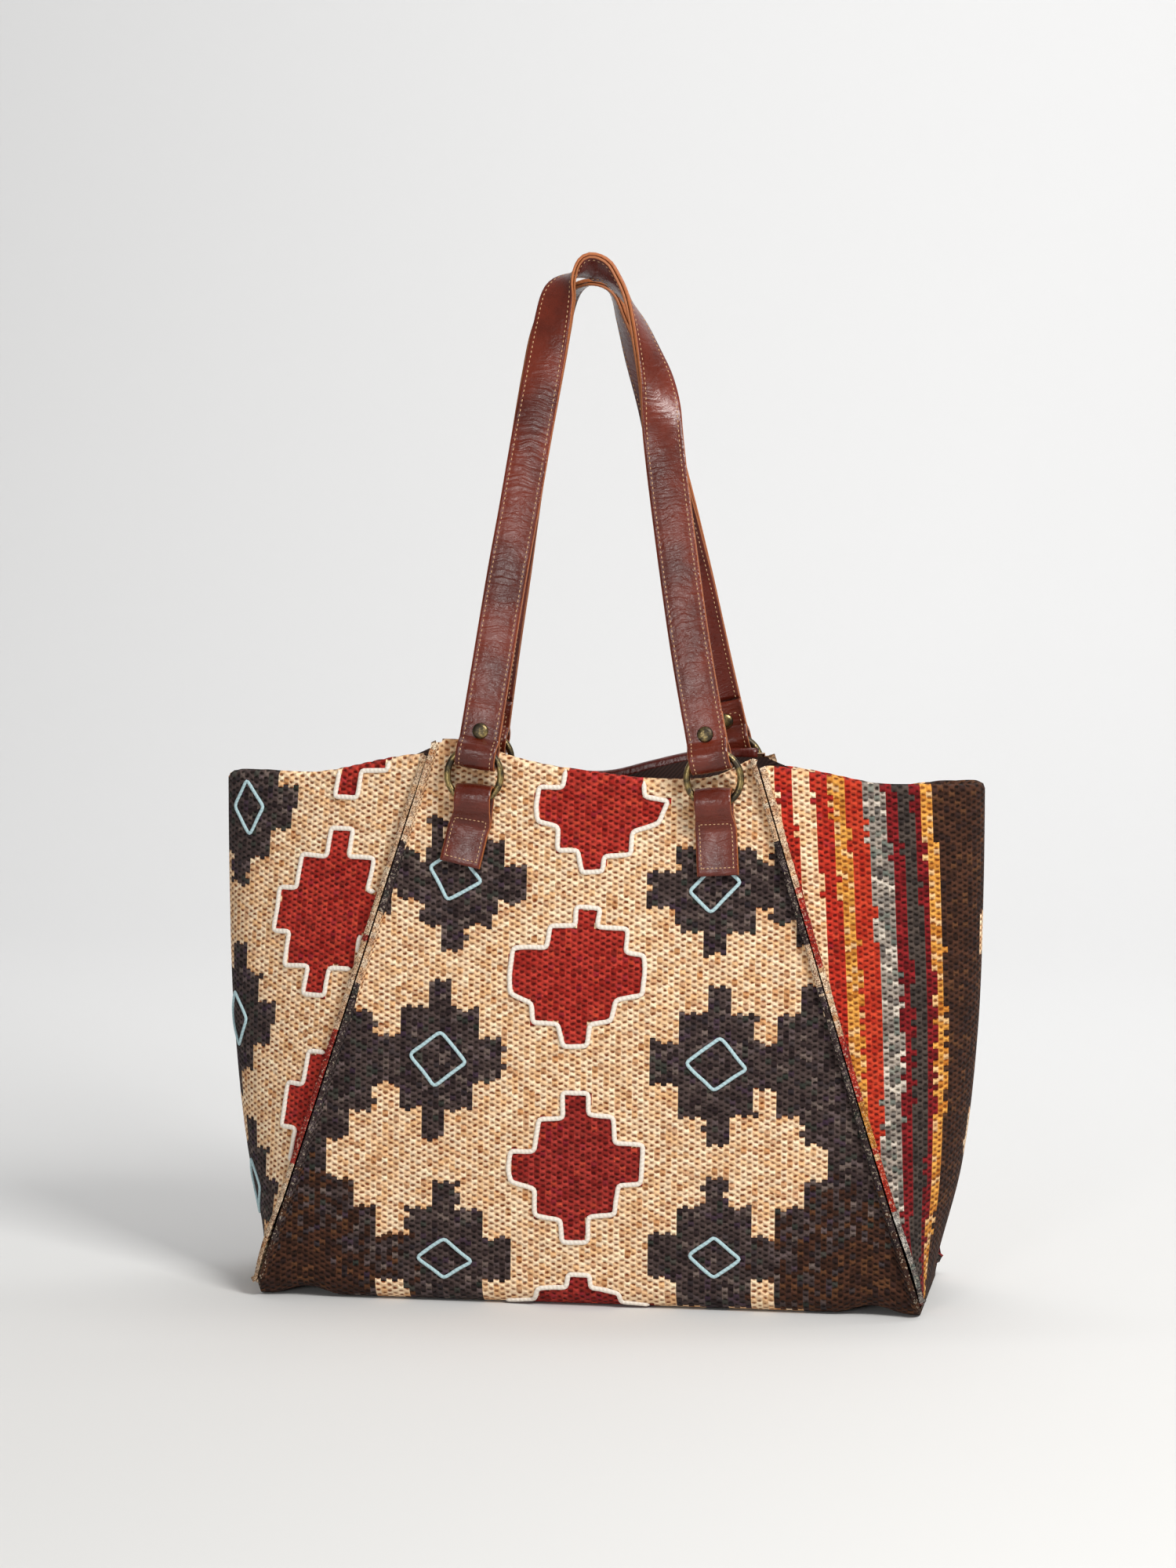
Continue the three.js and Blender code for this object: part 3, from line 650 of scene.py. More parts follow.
def right_yarn(u, z, _):
    bow = ((z - STRIPE_BOW_HEIGHT) / STRIPE_BOW_REACH) ** 2 * STRIPE_BOW
    at = -abs(u) + (BACK_STRIPE_SHIFT if u > 0 else 0) + bow
    for edge, yarn in RIGHT_STRIPES:
        if at < edge:
            break
    if yarn == "umber" and any(in_steps(u - cu, z - cz) for cu, cz in RIGHT_PATCHES):
        return "sand"
    return yarn


def leaning(u, rise):
    """The left wing's grain leans, so its motifs lean too: they near the tip line as they go down."""
    return u + math.copysign(LEFT_LEAN_OF_GRAIN, u) * rise


def left_yarn(u, z, _):
    def inside_any(centres, steps):
        return any(in_steps(u - leaning(cu, z - cz), z - cz, steps) for cu, cz in centres)

    if inside_any(LEFT_REDS, LEFT_RED_STEPS):
        return "crimson"
    if inside_any(LEFT_DARKS, LEFT_DARK_STEPS):
        return "charcoal"
    return "sand"


print("right wing has", len(RIGHT_STRIPES), "stripes on each half")

# %% Weaving flat cloth
FLECKS = {
    # share of the beads that are tinged, how strongly, and with which dyes
    "ash": (0.42, 0.6, ("3A3234", "EFE8DC", "5E706A")),
    "gold": (0.25, 0.5, ("F6DDB0",)),
    "umber": (0.3, 0.5, ("6E4A30", "2A2022")),
    "sand": (0.08, 0.55, ("B9763C",)),
    "charcoal": (0.35, 0.4, ("43304B", "36483F", "75676A", "2A2A33", "90827C")),
}
for red_yarn in ("crimson", "madder", "scarlet"):
    FLECKS[red_yarn] = (0.2, 0.4, ("CE5238", "8A2238", "6A2A22"))
DEPTH_OF_DYE = 1.3
GLOW_RANGE = (0.86, 1.1)
GAP_RANGE = (0.0, 0.25)
EDGE_WANDER = 0.9


def lerp_colour(a, b, t):
    return tuple(mix(p, q, t) for p, q in zip(a, b))


def bead_colours(yarn, chance):
    """Light colour of one bead and the painted shade in its gap, never quite the same twice."""
    light, deep, gap = YARNS[yarn]
    tone = lerp_colour(light, deep, chance.random() ** DEPTH_OF_DYE)
    if yarn in FLECKS:
        share, strength, tinges = FLECKS[yarn]
        if chance.random() < share:
            tinge = chance.choice(tinges) if len(tinges) > 1 else tinges[0]
            tone = lerp_colour(tone, dye(tinge), strength)
    glow = chance.uniform(*GLOW_RANGE)
    tone = tuple(min(c * glow, 1) for c in tone[:3]) + (1.0,)
    # Painted shade: the gap colour stands for the shade between the beads, with a little of the bead's tone.
    gap = lerp_colour(gap, tone, chance.uniform(*GAP_RANGE))
    return tone, gap


def flat_cloth(half_across, low, high):
    """A flat grid of quarter beads, in mm, that is aligned to whole columns and rows."""
    columns = 2 * math.ceil(half_across / BEAD)
    first, last = math.floor(low / ROW), math.ceil(high / ROW)
    bm = bmesh.new()
    bmesh.ops.create_grid(bm, x_segments=2 * columns, y_segments=2 * (last - first), size=1)
    for vert in bm.verts:
        vert.co.x *= columns * BEAD / 2
        vert.co.y = mix(first, last, (vert.co.y + 1) / 2) * ROW
    return bm


def trim(bm, width_at, bands):
    """Cuts both sides of the flat cloth along the lines of its pattern piece."""
    for low, high in zip(bands, bands[1:]):
        for side in (-1, 1):
            faces = [f for f in bm.faces
                     if low <= f.calc_center_median().y < high and f.calc_center_median().x * side > 0]
            geometry = list({e for f in faces for e in (*f.verts, *f.edges)}) + faces
            start = Vector((side * width_at(low), low, 0))
            line = Vector((side * width_at(high), high, 0)) - start
            normal = (line.y, -line.x, 0)
            bmesh.ops.bisect_plane(bm, geom=geometry, plane_co=start, plane_no=normal, dist=1e-4)
    outside = [f for f in bm.faces if abs(f.calc_center_median().x) > band_width(width_at, bands, f)]
    bmesh.ops.delete(bm, geom=outside, context="FACES")


def band_width(width_at, bands, face):
    y = face.calc_center_median().y
    for low, high in zip(bands, bands[1:]):
        if y < high:
            break
    return mix(width_at(low), width_at(high), (y - low) / (high - low))


def paint(bm, yarn_at, seed):
    """Gives each bead its dye and the painted shade of its gap, and each corner its place in the weave."""
    weave = bm.loops.layers.uv.new("weave")
    light = bm.loops.layers.float_color.new("yarn")
    dark = bm.loops.layers.float_color.new("gap")
    chance = random.Random(seed)
    beads = {}
    for face in bm.faces:
        middle = face.calc_center_median()
        column = math.floor(middle.x / BEAD)
        shift = 0.5 * (column % 2)
        row = math.floor(middle.y / ROW + shift)
        if (column, row) not in beads:
            x = (column + 0.5) * BEAD + chance.uniform(-EDGE_WANDER, EDGE_WANDER)
            y = (row + 0.5 - shift) * ROW + chance.uniform(-EDGE_WANDER, EDGE_WANDER)
            beads[column, row] = bead_colours(yarn_at(x, y, chance.random()), chance)
        tone, gap = beads[column, row]
        for corner in face.loops:
            corner[weave].uv = (corner.vert.co.x / BEAD, corner.vert.co.y / ROW)
            corner[light] = tone
            corner[dark] = gap
    return len(beads)


print("one bead is", BEAD, "by", ROW, "mm")

# %% [markdown]
# ## Kilim finish
# The weft passes over one warp and under the next, so each warp shows a column of round beads, and the beads
# of neighbouring columns are staggered by half. The weave map counts columns and beads, so the shader can
# find the middle of each bead, raise it with a bump, and paint shade into the holes between and light on the
# crowns.
# A sine across the columns times a sine along them is such a chequered wave. Fine noise adds the strands of
# the wool.

# %% Kilim finish
# Painted shade and painted light: the wool's colour is multiplied by these in the holes and on the crowns of
# the beads.
WOOL_PAINTED_SHADE = (0.62, 0.5, 0.36, 1)
WOOL_PAINTED_LIGHT = (1.38, 1.36, 1.36, 1)
WOOL_RELIEF = 0.0016
EDGE_RELIEF = 0.0012


def kilim_finish(name):
    wool = Finish(name)
    across, along = wool.map_of("weave")
    across = across + (wool.grain(300, 1.0) - 0.5) * 0.55
    along = along + (wool.grain(340, 1.0) - 0.5) * 0.45
    weft = 0.0 - (across * math.pi).wave() * (along * (2 * math.pi) + math.pi / 2).wave()
    luck = wool.grain(270, 0.0)
    strand = wool.grain(1.0, 2.0, wool.stretch(across * 2.0 + along * 3.0, along * 9.0))
    fuzz = wool.grain(2300) * 0.5 + strand * 0.5
    # Painted shade: the holes between the beads take the darker gap colour, and the crowns take the yarn's
    # colour.
    crown = wool.ease(weft + (fuzz - 0.5) * 0.6 + (luck - 0.5) * 0.9, -0.9, 0.0)
    colour = wool.mix(crown, wool.tint("gap"), wool.tint("yarn"))
    # Painted light and shade: together with the wool's fibres, the crowns of the beads are painted lighter
    # and the holes darker.
    light = fuzz * 0.55 + weft * 0.2 + 0.22
    wool_with_painted_light = wool.mix(1.0, colour, wool.mix(light, WOOL_PAINTED_SHADE, WOOL_PAINTED_LIGHT), "MULTIPLY")
    wool.shade({
        "Base Color": wool_with_painted_light,
        "Roughness": 0.9,
        "Specular IOR Level": 0.1,
        "Sheen Weight": 0.03,
        "Sheen Roughness": 0.5,
        "Normal": wool.relief(weft * 0.5 + fuzz * 0.35, WOOL_RELIEF),
    })
    return wool


def raw_edge_finish():
    """The cut edges of the kilim: the dye of the cloth beside them, with ends of cream and dark yarn."""
    edge = Finish("kilim_raw_edge")
    speck = edge.grain(620, rough=0.7)
    fine = edge.grain(1700)
    tone = edge.mix(edge.ease(fine, 0.35, 0.6), edge.tint("gap"), edge.tint("yarn"))
    tone = edge.mix(edge.ease(speck, 0.54, 0.66) * 0.55, tone, dye("D2BFA8"))
    tone = edge.mix(edge.ease(speck, 0.5, 0.38) * 0.6, tone, dye("3A2A28"))
    edge.shade({
        "Base Color": tone,
        "Roughness": 0.95,
        "Specular IOR Level": 0.1,
        "Normal": edge.relief(speck + fine * 0.6, EDGE_RELIEF),
    })
    return edge


strip_wool = kilim_finish("kilim_wool")
wing_wool = kilim_finish("wing_wool")
raw_edge = raw_edge_finish()
print("kilim finish has", len(strip_wool.tree.nodes), "nodes")

# %% [markdown]
# ## Body and wings
# The strip runs down the front, under the base and up the back in one piece. It is cut flat like a pattern
# piece, with a lip at each side and a hem at the front end, then bent: the lips turn out at the seams and the
# hem rolls in at the rim. The wings are made in the same way.
# Cloth simulation could sag it, but this cloth is as stiff as felt and keeps the shape it is sewn to.

# %% Finishing a piece
RAW_EDGE = 0.0033
SPARE_SIDE = 2
SPARE_END = 4
HEM_CUT = 4
BOUND_RIM_CUT = 1
LIP_END = 2
LIP_NOTCH = 3
WING_BANDS = (60, 120, 180, 240, 300, 350)


def new_mesh(map_name):
    """An empty mesh with a map for its finish."""
    bm = bmesh.new()
    return bm, bm.loops.layers.uv.new(map_name)


def make_piece(name, bm, finishes, body, nodes=()):
    mesh = bpy.data.meshes.new(name)
    bm.to_mesh(mesh)
    bm.free()
    mesh.shade_smooth()
    for finish in finishes:
        mesh.materials.append(finish.material)
    made = bpy.data.objects.new(name, mesh)
    bpy.context.scene.collection.objects.link(made)
    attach(made, body)
    if nodes:
        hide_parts(*nodes)
    print(name, "has", len(mesh.polygons), "faces")
    return made


def give_edge(made):
    """Cloth shows its thickness only at its raw edges, so only the rim is filled."""
    wall = made.modifiers.new("raw_edge", "SOLIDIFY")
    wall.thickness = RAW_EDGE
    wall.offset = -1
    wall.use_rim_only = True
    wall.material_offset_rim = 1


def face_out(bm, outward):
    """Turns a sheet over where its faces look inwards."""
    bm.normal_update()
    if sum(f.normal.dot(outward(f.calc_center_median())) for f in bm.faces) < 0:
        bmesh.ops.reverse_faces(bm, faces=bm.faces)


def flat_area(bm):
    return sum(f.calc_area() for f in bm.faces) * MM * MM


# %% Body panel
def make_body():
    top = max(FRONT_RIM) - FOLD_TOP + HEM_DEPTH
    bottom = -2 * STRIP_MIDDLE - (max(BACK_RIM) - FOLD_TOP + HEM_DEPTH)
    bm = flat_cloth(BASE_HALF_WIDTH + LIP_REACH + SPARE_SIDE, bottom, top)
    ends = (top + SPARE_END, 0, -2 * STRIP_MIDDLE, bottom - SPARE_END)
    trim(bm, lambda t: strip_corner(t)[0] + LIP_REACH, sorted(ends))
    spare = [f for f in bm.faces if spare_of_strip(f.calc_center_median())]
    bmesh.ops.delete(bm, geom=spare, context="FACES")
    count = paint(bm, strip_yarn, 11)
    area = flat_area(bm)
    for vert in bm.verts:
        vert.co = strip_point(vert.co.x, vert.co.y)
    face_out(bm, lambda p: p - Vector((p.x, 0, 0.16)))
    made = make_piece("kilim_strip", bm, (strip_wool, raw_edge), "bag", ("body_panel",))
    give_edge(made)
    print("strip of", count, "beads,", round(area, 3), "square metres of cloth")


def spare_of_strip(point):
    """Cloth past the hem's depth, or above the bound rim of the back, and lips at the rim are cut away."""
    u, t = point.x, point.y
    behind = t < -STRIP_MIDDLE
    if behind:
        t = -2 * STRIP_MIDDLE - t
    rim = strip_rim(BACK_RIM if behind else FRONT_RIM, u) - FOLD_TOP
    if t > rim + (-BOUND_RIM_CUT if behind else HEM_DEPTH - HEM_CUT):
        return True
    return t > rim - LIP_END and abs(u) > strip_corner(min(t, rim))[0] - LIP_NOTCH


make_body()


# %% Wings
def make_wing(name, side, yarn_at, seed, node):
    def width_at(z):
        return wing_corner(min(z, BODY_HEIGHT))[0] + LIP_REACH

    def spare(point):
        rim = wing_rim(side, point.x)
        past = point.y > rim - LIP_END and abs(point.x) > wing_corner(min(point.y, rim))[0] - LIP_NOTCH
        return past or point.y > rim + HEM_DEPTH - HEM_CUT

    bottom, top = 2 * ROW, max(WING_RIMS[side]) + HEM_DEPTH
    bm = flat_cloth(width_at(BODY_HEIGHT) + SPARE_SIDE, bottom, top)
    trim(bm, width_at, (bottom - SPARE_END, FOLD_TOP, *WING_BANDS))
    bmesh.ops.delete(bm, geom=[f for f in bm.faces if spare(f.calc_center_median())], context="FACES")
    paint(bm, yarn_at, seed)
    area = flat_area(bm)
    size = (2 * width_at(BODY_HEIGHT) * MM, (top - bottom) * MM)
    for vert in bm.verts:
        vert.co = wing_point(vert.co.x, vert.co.y, side)
    face_out(bm, lambda p: Vector((side, 0, 0)))
    made = make_piece(name, bm, (wing_wool, raw_edge), "bag", (node,))
    give_edge(made)


make_wing("left_wing", -1, left_yarn, 23, "left_gusset")
make_wing("right_wing", 1, right_yarn, 37, "right_gusset")

# %% [markdown]
# ## Embroidery
# Cream cord is laid along the edge of each red medallion and sewn down, and a pale blue cord makes a loose
# diamond in most of the dark ones. A cord is a flat grid rolled into a tube along a line. The line is drawn
# on the flat cloth, rounded a little at its corners, and lifted onto the bag with the cloth's own bending.

# %% Rolling a grid into a tube
CORD_SIDES = 8
CORD_WIDE = 1.12
CORD_FLAT = 0.86
CORD_END = 0.3
CORD_UNEVEN = 0.1
UNEVEN_SCALE = 400
DRIFT_PER_STEP = 0.11
ROUNDINGS = 2


def rolled(bm, around, along, place, layer):
    """Bends a new flat grid. place(i, j) gives a point and its place in the finish, for whole i and j."""
    made = bmesh.ops.create_grid(bm, x_segments=around, y_segments=along, size=1)
    verts = made["verts"]
    spots = {}
    for vert in verts:
        i = round((vert.co.x + 1) / 2 * around)
        j = round((vert.co.y + 1) / 2 * along)
        spots[vert] = place(i, j)
    for face in {f for v in verts for f in v.link_faces}:
        for corner in face.loops:
            corner[layer].uv = spots[corner.vert][1]
    for vert in verts:
        vert.co = spots[vert][0]
    bmesh.ops.remove_doubles(bm, verts=verts, dist=2e-6)


def walk(corners, step, wobble, chance):
    """Points along a closed line of corners, a step apart, rounded and a little unsteady."""
    points = []
    for a, b in zip(corners, corners[1:] + corners[:1]):
        a, b = Vector(a), Vector(b)
        count = max(round((b - a).length / step), 1)
        for k in range(count):
            points.append(a + (b - a) * (k / count))
    drift = chance.uniform(0, 100)
    for k, point in enumerate(points):
        place = Vector((k * DRIFT_PER_STEP + drift, 0, 0))
        point += Vector((noise.noise(place), noise.noise(place + Vector((0, 7, 0))))) * wobble
    for _ in range(ROUNDINGS):
        points = [(points[k - 1] + 2 * p + points[(k + 1) % len(points)]) / 4 for k, p in enumerate(points)]
    return points


def lay_cord(bm, layer, spots, outs, radius, closed):
    """A round cord of this radius in mm through the spots, where outs are the directions off the cloth."""
    count = len(spots)
    travel = [0.0]
    for a, b in zip(spots, spots[1:] + spots[:1]):
        travel.append(travel[-1] + (b - a).length / MM)

    def place(i, j):
        k = j % count if closed else min(j, count - 1)
        ahead = spots[(k + 1) % count] if closed else spots[min(k + 1, count - 1)]
        before = spots[k - 1] if closed else spots[max(k - 1, 0)]
        along = (ahead - before).normalized()
        up = (outs[k] - along * outs[k].dot(along)).normalized()
        beside = along.cross(up)
        angle = 2 * math.pi * (i % CORD_SIDES) / CORD_SIDES
        swell = radius * (1 + CORD_UNEVEN * noise.noise(spots[k] * UNEVEN_SCALE))
        if not closed and j in (0, count - 1):
            swell *= CORD_END
        ring = beside * math.cos(angle) * CORD_WIDE + up * math.sin(angle) * CORD_FLAT
        return spots[k] + ring * swell * MM, (travel[j], i / CORD_SIDES)

    rolled(bm, CORD_SIDES, count if closed else count - 1, place, layer)


def on_cloth(points, surface, lift_off):
    """Lifts flat points onto the bag, with the direction off the cloth at each."""
    spots = [surface(p.x, p.y, lift_off) for p in points]
    outs = [(surface(p.x, p.y, lift_off + 2) - s).normalized() for p, s in zip(points, spots)]
    return spots, outs


print("cord tubes have", CORD_SIDES, "sides")


# %% Cord finish
def cord_finish(name, light, deep):
    cotton = Finish(name)
    travel, turn = cotton.map_of("cord")
    twist = (travel * 2.4 + turn * 6.2832).wave() * 0.5 + 0.5
    fuzz = cotton.grain(2600)
    tone = cotton.mix(twist * 0.3 + fuzz * 0.7, dye(deep), dye(light))
    cotton.shade({
        "Base Color": tone,
        "Roughness": 0.85,
        "Sheen Weight": 0.1,
        "Normal": cotton.relief(twist * 0.5 + fuzz, 0.0004),
    })
    return cotton


white_cotton = cord_finish("cream_cord", "FBF4EA", "E0D2C0")
blue_cotton = cord_finish("blue_cord", "C6DFE2", "98B9C1")
print("cord finishes made")

# %% Laying the embroidery
CORD_RADIUS = 1.35
BLUE_CORD_RADIUS = 1.0
CORD_LIFT = 0.55
CORD_STEP = 1.7
CORD_WOBBLE = 0.7


def in_front(u, z, proud):
    return strip_point(u, z - FOLD_TOP, proud)


def in_back(u, z, proud):
    return strip_point(-u, -2 * STRIP_MIDDLE - (z - FOLD_TOP), proud)


def on_left(u, z, proud):
    return wing_point(u, z, -1, proud)


def step_corners(cx, cy, steps):
    """The stepped ring of corners round a medallion."""
    quarter = []
    for n, (wide, tall) in enumerate(steps):
        if n:
            quarter.append((steps[n - 1][0], tall))
        quarter.append((wide, tall))
    right = quarter + [(x, -y) for x, y in reversed(quarter)]
    ring = right + [(-x, y) for x, y in reversed(right)]
    return tuple((cx + x, cy + y) for x, y in ring)


def cut_runs(points, keep):
    """The runs of a closed line that lie on the cloth."""
    flags = [keep(p) for p in points]
    if all(flags):
        return [(points, True)]
    if not any(flags):
        return []
    start = next(k for k in range(len(points)) if flags[k] and not flags[k - 1])
    order = [(start + k) % len(points) for k in range(len(points))]
    runs = [[]]
    for k in order:
        if flags[k]:
            runs[-1].append(points[k])
        elif runs[-1]:
            runs.append([])
    return [(run, False) for run in runs if len(run) > 3]


def strip_holds(point):
    rim = strip_rim(FRONT_RIM, point.x)
    return 1.5 < point.y < rim - 1.5 and abs(point.x) < strip_corner(point.y - FOLD_TOP)[0] - 4


def back_holds(point):
    return 0 < point.y < strip_rim(BACK_RIM, -point.x) - 6


def wing_holds(point):
    rim = wing_rim(-1, point.x)
    return 6 < point.y < rim - 2 and abs(point.x) < wing_corner(point.y)[0] - 3.2


def embroider(bm, layer, corners, surface, holds, radius, chance):
    for run, closed in cut_runs(walk(corners, CORD_STEP, CORD_WOBBLE, chance), holds):
        spots, outs = on_cloth(run, surface, CORD_LIFT * radius / CORD_RADIUS)
        lay_cord(bm, layer, spots, outs, radius, closed)


def make_embroidery(name, cotton, radius, seed, strip_rings, wing_rings):
    """Cords along rings of corners, on the front and the back of the strip and on the left wing."""
    bm, layer = new_mesh("cord")
    chance = random.Random(seed)
    for corners in strip_rings:
        embroider(bm, layer, corners, in_front, strip_holds, radius, chance)
        embroider(bm, layer, corners, in_back, back_holds, radius, chance)
    for corners in wing_rings:
        embroider(bm, layer, corners, on_left, wing_holds, radius, chance)
    bmesh.ops.recalc_face_normals(bm, faces=bm.faces)
    make_piece(name, bm, (cotton,), "bag")


# %% Outlines of the red medallions
def left_red_ring(cu, cz):
    ring = step_corners(cu, cz, LEFT_RED_STEPS)
    return tuple((x - cu + leaning(cu, y - cz), y) for x, y in ring)


strip_reds = [ring for _, ring in RED_OUTLINES]
wing_reds = [left_red_ring(*centre) for centre in LEFT_REDS]
make_embroidery("cream_outlines", white_cotton, CORD_RADIUS, 5, strip_reds, wing_reds)

# %% Blue diamonds
DIAMONDS = (
    # centre on the front, then its four corners from there
    ((-82.5, 260.5), ((1.5, 15.7), (16, -4.6), (-5, -15.7), (-16.2, 4.6))),
    ((-92, 148.7), ((1.9, 16.6), (17.8, -1.8), (-1.9, -16.8), (-17.5, 1.8))),
    ((-86.4, 27), ((-0.6, 12), (17.1, -1.3), (-0.6, -12), (-17.3, 0.6))),
    ((76.5, 257), ((2, 14.6), (15.6, 1.9), (-2.5, -16.5), (-15.6, -3.9))),
    ((79.4, 149.2), ((1.6, 16.5), (18.1, -2), (-1.8, -15.5), (-18.9, 1))),
    ((79, 33), ((-0.6, 12.5), (16.2, -0.6), (0, -12.3), (-15.6, 0.4))),
)
LEFT_DIAMONDS = ((-25, 296), (-18, 164), (-30, 61), (38, 297), (40, 164), (36, 56))
LEFT_DIAMOND = ((2, 17), (11, 0), (-2, -17), (-11, 1))


def diamond_ring(centre, shape):
    return tuple((centre[0] + dx, centre[1] + dz) for dx, dz in shape)


strip_blues = [diamond_ring(*diamond) for diamond in DIAMONDS]
wing_blues = [diamond_ring(centre, LEFT_DIAMOND) for centre in LEFT_DIAMONDS]
make_embroidery("blue_diamonds", blue_cotton, BLUE_CORD_RADIUS, 8, strip_blues, wing_blues)

# %% [markdown]
# ## Lining
# Inside hangs a plain bag of dark brown twill. It is one grid: its lower rows are the floor and its upper
# rows the walls.

# %% Lining
LINING_INSET = 7.6
LINING_FLOOR = 12.4
LINING_DROP = 3.0
LINING_ROUND = 96
LINING_UP = 44
LINING_FLOOR_ROWS = 8
LINING_SEAM = 4
LINING_TIP = 2
LINING_LEAST_REACH = 0.5
LINING_WAVE = 0.7
LINING_WAVE_SCALE = 0.02
TWILL_PER_STEP = 8.0
TWILL_ON_FLOOR = 60


def lining_point(i, j):
    turn = 4 * (i % LINING_ROUND) / LINING_ROUND
    side, s = int(turn), 2 * (turn - int(turn)) - 1
    floor_share = min(j / LINING_FLOOR_ROWS, 1)
    f = max(j - LINING_FLOOR_ROWS, 0) / (LINING_UP - LINING_FLOOR_ROWS)
    rims = (FRONT_RIM, RIGHT_RIM, BACK_RIM, LEFT_RIM)[side]
    at = (s + 1) / 2 if side in (0, 1) else (1 - s) / 2
    z = mix(LINING_FLOOR, through(rims, at) - LINING_DROP, f)
    x = half_width(z) - LINING_SEAM
    if side in (0, 2):
        point = Vector((s * x, -(half_depth(z) + belly(s, z) - LINING_INSET), z))
    else:
        tip = through(WING_HALF_WIDTHS, z / BODY_HEIGHT) - HALF - LINING_INSET - LINING_TIP
        out = max(tip - x, LINING_LEAST_REACH)
        point = Vector((x + out * (1 - abs(s) ** WING_CURVE), s * (half_depth(z) - LINING_INSET), z))
    if side > 1:
        point.x, point.y = -point.x, -point.y
    point.x *= mix(0.5, 1, floor_share)
    point.y *= floor_share
    wave = LINING_WAVE * noise.noise(point * LINING_WAVE_SCALE) * f
    point.x += wave
    point.y += wave
    return point * MM, (i * TWILL_PER_STEP, z if f else floor_share * TWILL_ON_FLOOR)


def lining_finish():
    twill = Finish("lining_twill")
    across, up = twill.map_of("twill")
    ribs = ((across + up) * 2.6).wave() * 0.5 + 0.5
    fuzz = twill.grain(900)
    tone = twill.mix(ribs * 0.6 + fuzz * 0.4, dye("22120E"), dye("3E241C"))
    twill.shade({"Base Color": tone, "Roughness": 0.8, "Normal": twill.relief(ribs + fuzz * 0.4, 0.0004)})
    return twill


def make_lining():
    bm, layer = new_mesh("twill")
    rolled(bm, LINING_ROUND, LINING_UP, lining_point, layer)
    face_out(bm, lambda p: Vector((-p.x, -p.y, 0.02)))
    area = sum(f.calc_area() for f in bm.faces)
    made = make_piece("lining_bag", bm, (lining_finish(),), "bag", ("lining",))


make_lining()

# %% [markdown]
# ## Leather
# Tabs and handles are cut from a reddish brown leather with a soft gloss. The binding is a darker piece of
# it, and the insides of the handles take the same darker finish, which on them is partly painted shade. The
# cut edges show the paler, orange inside of the hide. The strips carry a map that counts millimetres in from
# the edge and along the strip, so the finish can paint the edges and lay the fine creases across.

# %% Leather finish
PORE_SCALE = 1150.0
PILLOW_FROM = 0.5
PILLOW_TO = 14.0
HIDE_RELIEF = 0.001


def leather_finish(name, light, deep, edge_tone):
    hide = Finish(name)
    inset, along = hide.map_of("hide")
    cloud = hide.grain(34, 3.0)
    pores = hide.node("ShaderNodeTexVoronoi", None, {"Vector": hide.spot(), "Scale": PORE_SCALE})
    sway = hide.grain(60, 1.0) * 4.0
    crease = hide.grain(1.0, 3.0, hide.stretch(inset * 0.12 + sway, along * 0.36 + sway))
    fine = hide.grain(520, 3.0, rough=0.6)
    tone = hide.mix(hide.ease(cloud, 0.3, 0.7), dye(deep), dye(light))
    # Painted shade: the creases are painted darker than the leather round them.
    tone = hide.mix(hide.ease(crease, 0.62, 0.8) * 0.35, tone, dye(deep))
    tone = hide.mix(hide.ease(fine, 0.5, 0.8) * 0.25, tone, dye(light))
    cut = 1.0 - hide.ease(inset + (fine - 0.5) * 0.3, 0.1, 0.42)
    tone = hide.mix(cut, tone, hide.mix(fine, dye(edge_tone), dye("8A4A24")))
    pillow = hide.ease(inset, PILLOW_FROM, PILLOW_TO)
    height = pores * 0.03 + crease * 0.55 + fine * 0.08 + pillow * 0.3
    hide.shade({
        "Base Color": tone,
        "Roughness": hide.ease(fine + cut * 0.6, 0.2, 1.3) * 0.3 + 0.25,
        "Specular IOR Level": 0.45,
        "Normal": hide.relief(height, HIDE_RELIEF),
    })
    return hide


brown_hide = leather_finish("brown_leather", "6C2716", "4A170B", "B56A38")
# Darker leather: it is real on the binding, and on the insides of the handles it is partly painted shade.
darker_and_shaded_hide = leather_finish("darker_and_shaded_leather", "602013", "420F08", "A8683C")


def thread_finish():
    thread = Finish("beige_thread")
    fuzz = thread.grain(3000)
    tone = thread.mix(fuzz, dye("B08058"), dye("DDB88E"))
    thread.shade({"Base Color": tone, "Roughness": 0.7, "Normal": thread.relief(fuzz, 0.0002)})
    return thread


thread = thread_finish()
print("leather and thread ready")

# %% Strips of leather
OUTER_STEPS = 16
INNER_STEPS = 8
EDGE_ROUND = 0.25
EDGE_DROP = 0.12
EDGE_SWELL = 0.06
GROOVE_DEPTH = 0.3
GROOVE_WIDTH = 0.7
STITCH_INSET = 2.7
STITCH_LENGTH = 1.9
STITCH_GIRTH = 0.36
STITCH_FLAT = 0.8


def strip_section(width, thickness, crown):
    """Corners round a strip's cross-section, as (across, out) in mm. The outer side is a little padded."""
    wide, thick = width / 2, thickness / 2
    outer = []
    for k in range(OUTER_STEPS + 1):
        a = mix(-wide + EDGE_ROUND, wide - EDGE_ROUND, k / OUTER_STEPS)
        groove = GROOVE_DEPTH * math.exp(-(((wide - abs(a)) - STITCH_INSET) / GROOVE_WIDTH) ** 2)
        outer.append((a, thick - EDGE_DROP + crown * (1 - (abs(a) / wide) ** 3) - groove))
    right = [(wide, thick * 0.55), (wide + EDGE_SWELL, 0.0), (wide, -thick * 0.6)]
    inner = []
    for k in range(INNER_STEPS + 1):
        inner.append((mix(wide - EDGE_ROUND, -wide + EDGE_ROUND, k / INNER_STEPS), -thick))
    left = [(-a, n) for a, n in reversed(right)]
    return outer + right + inner + left


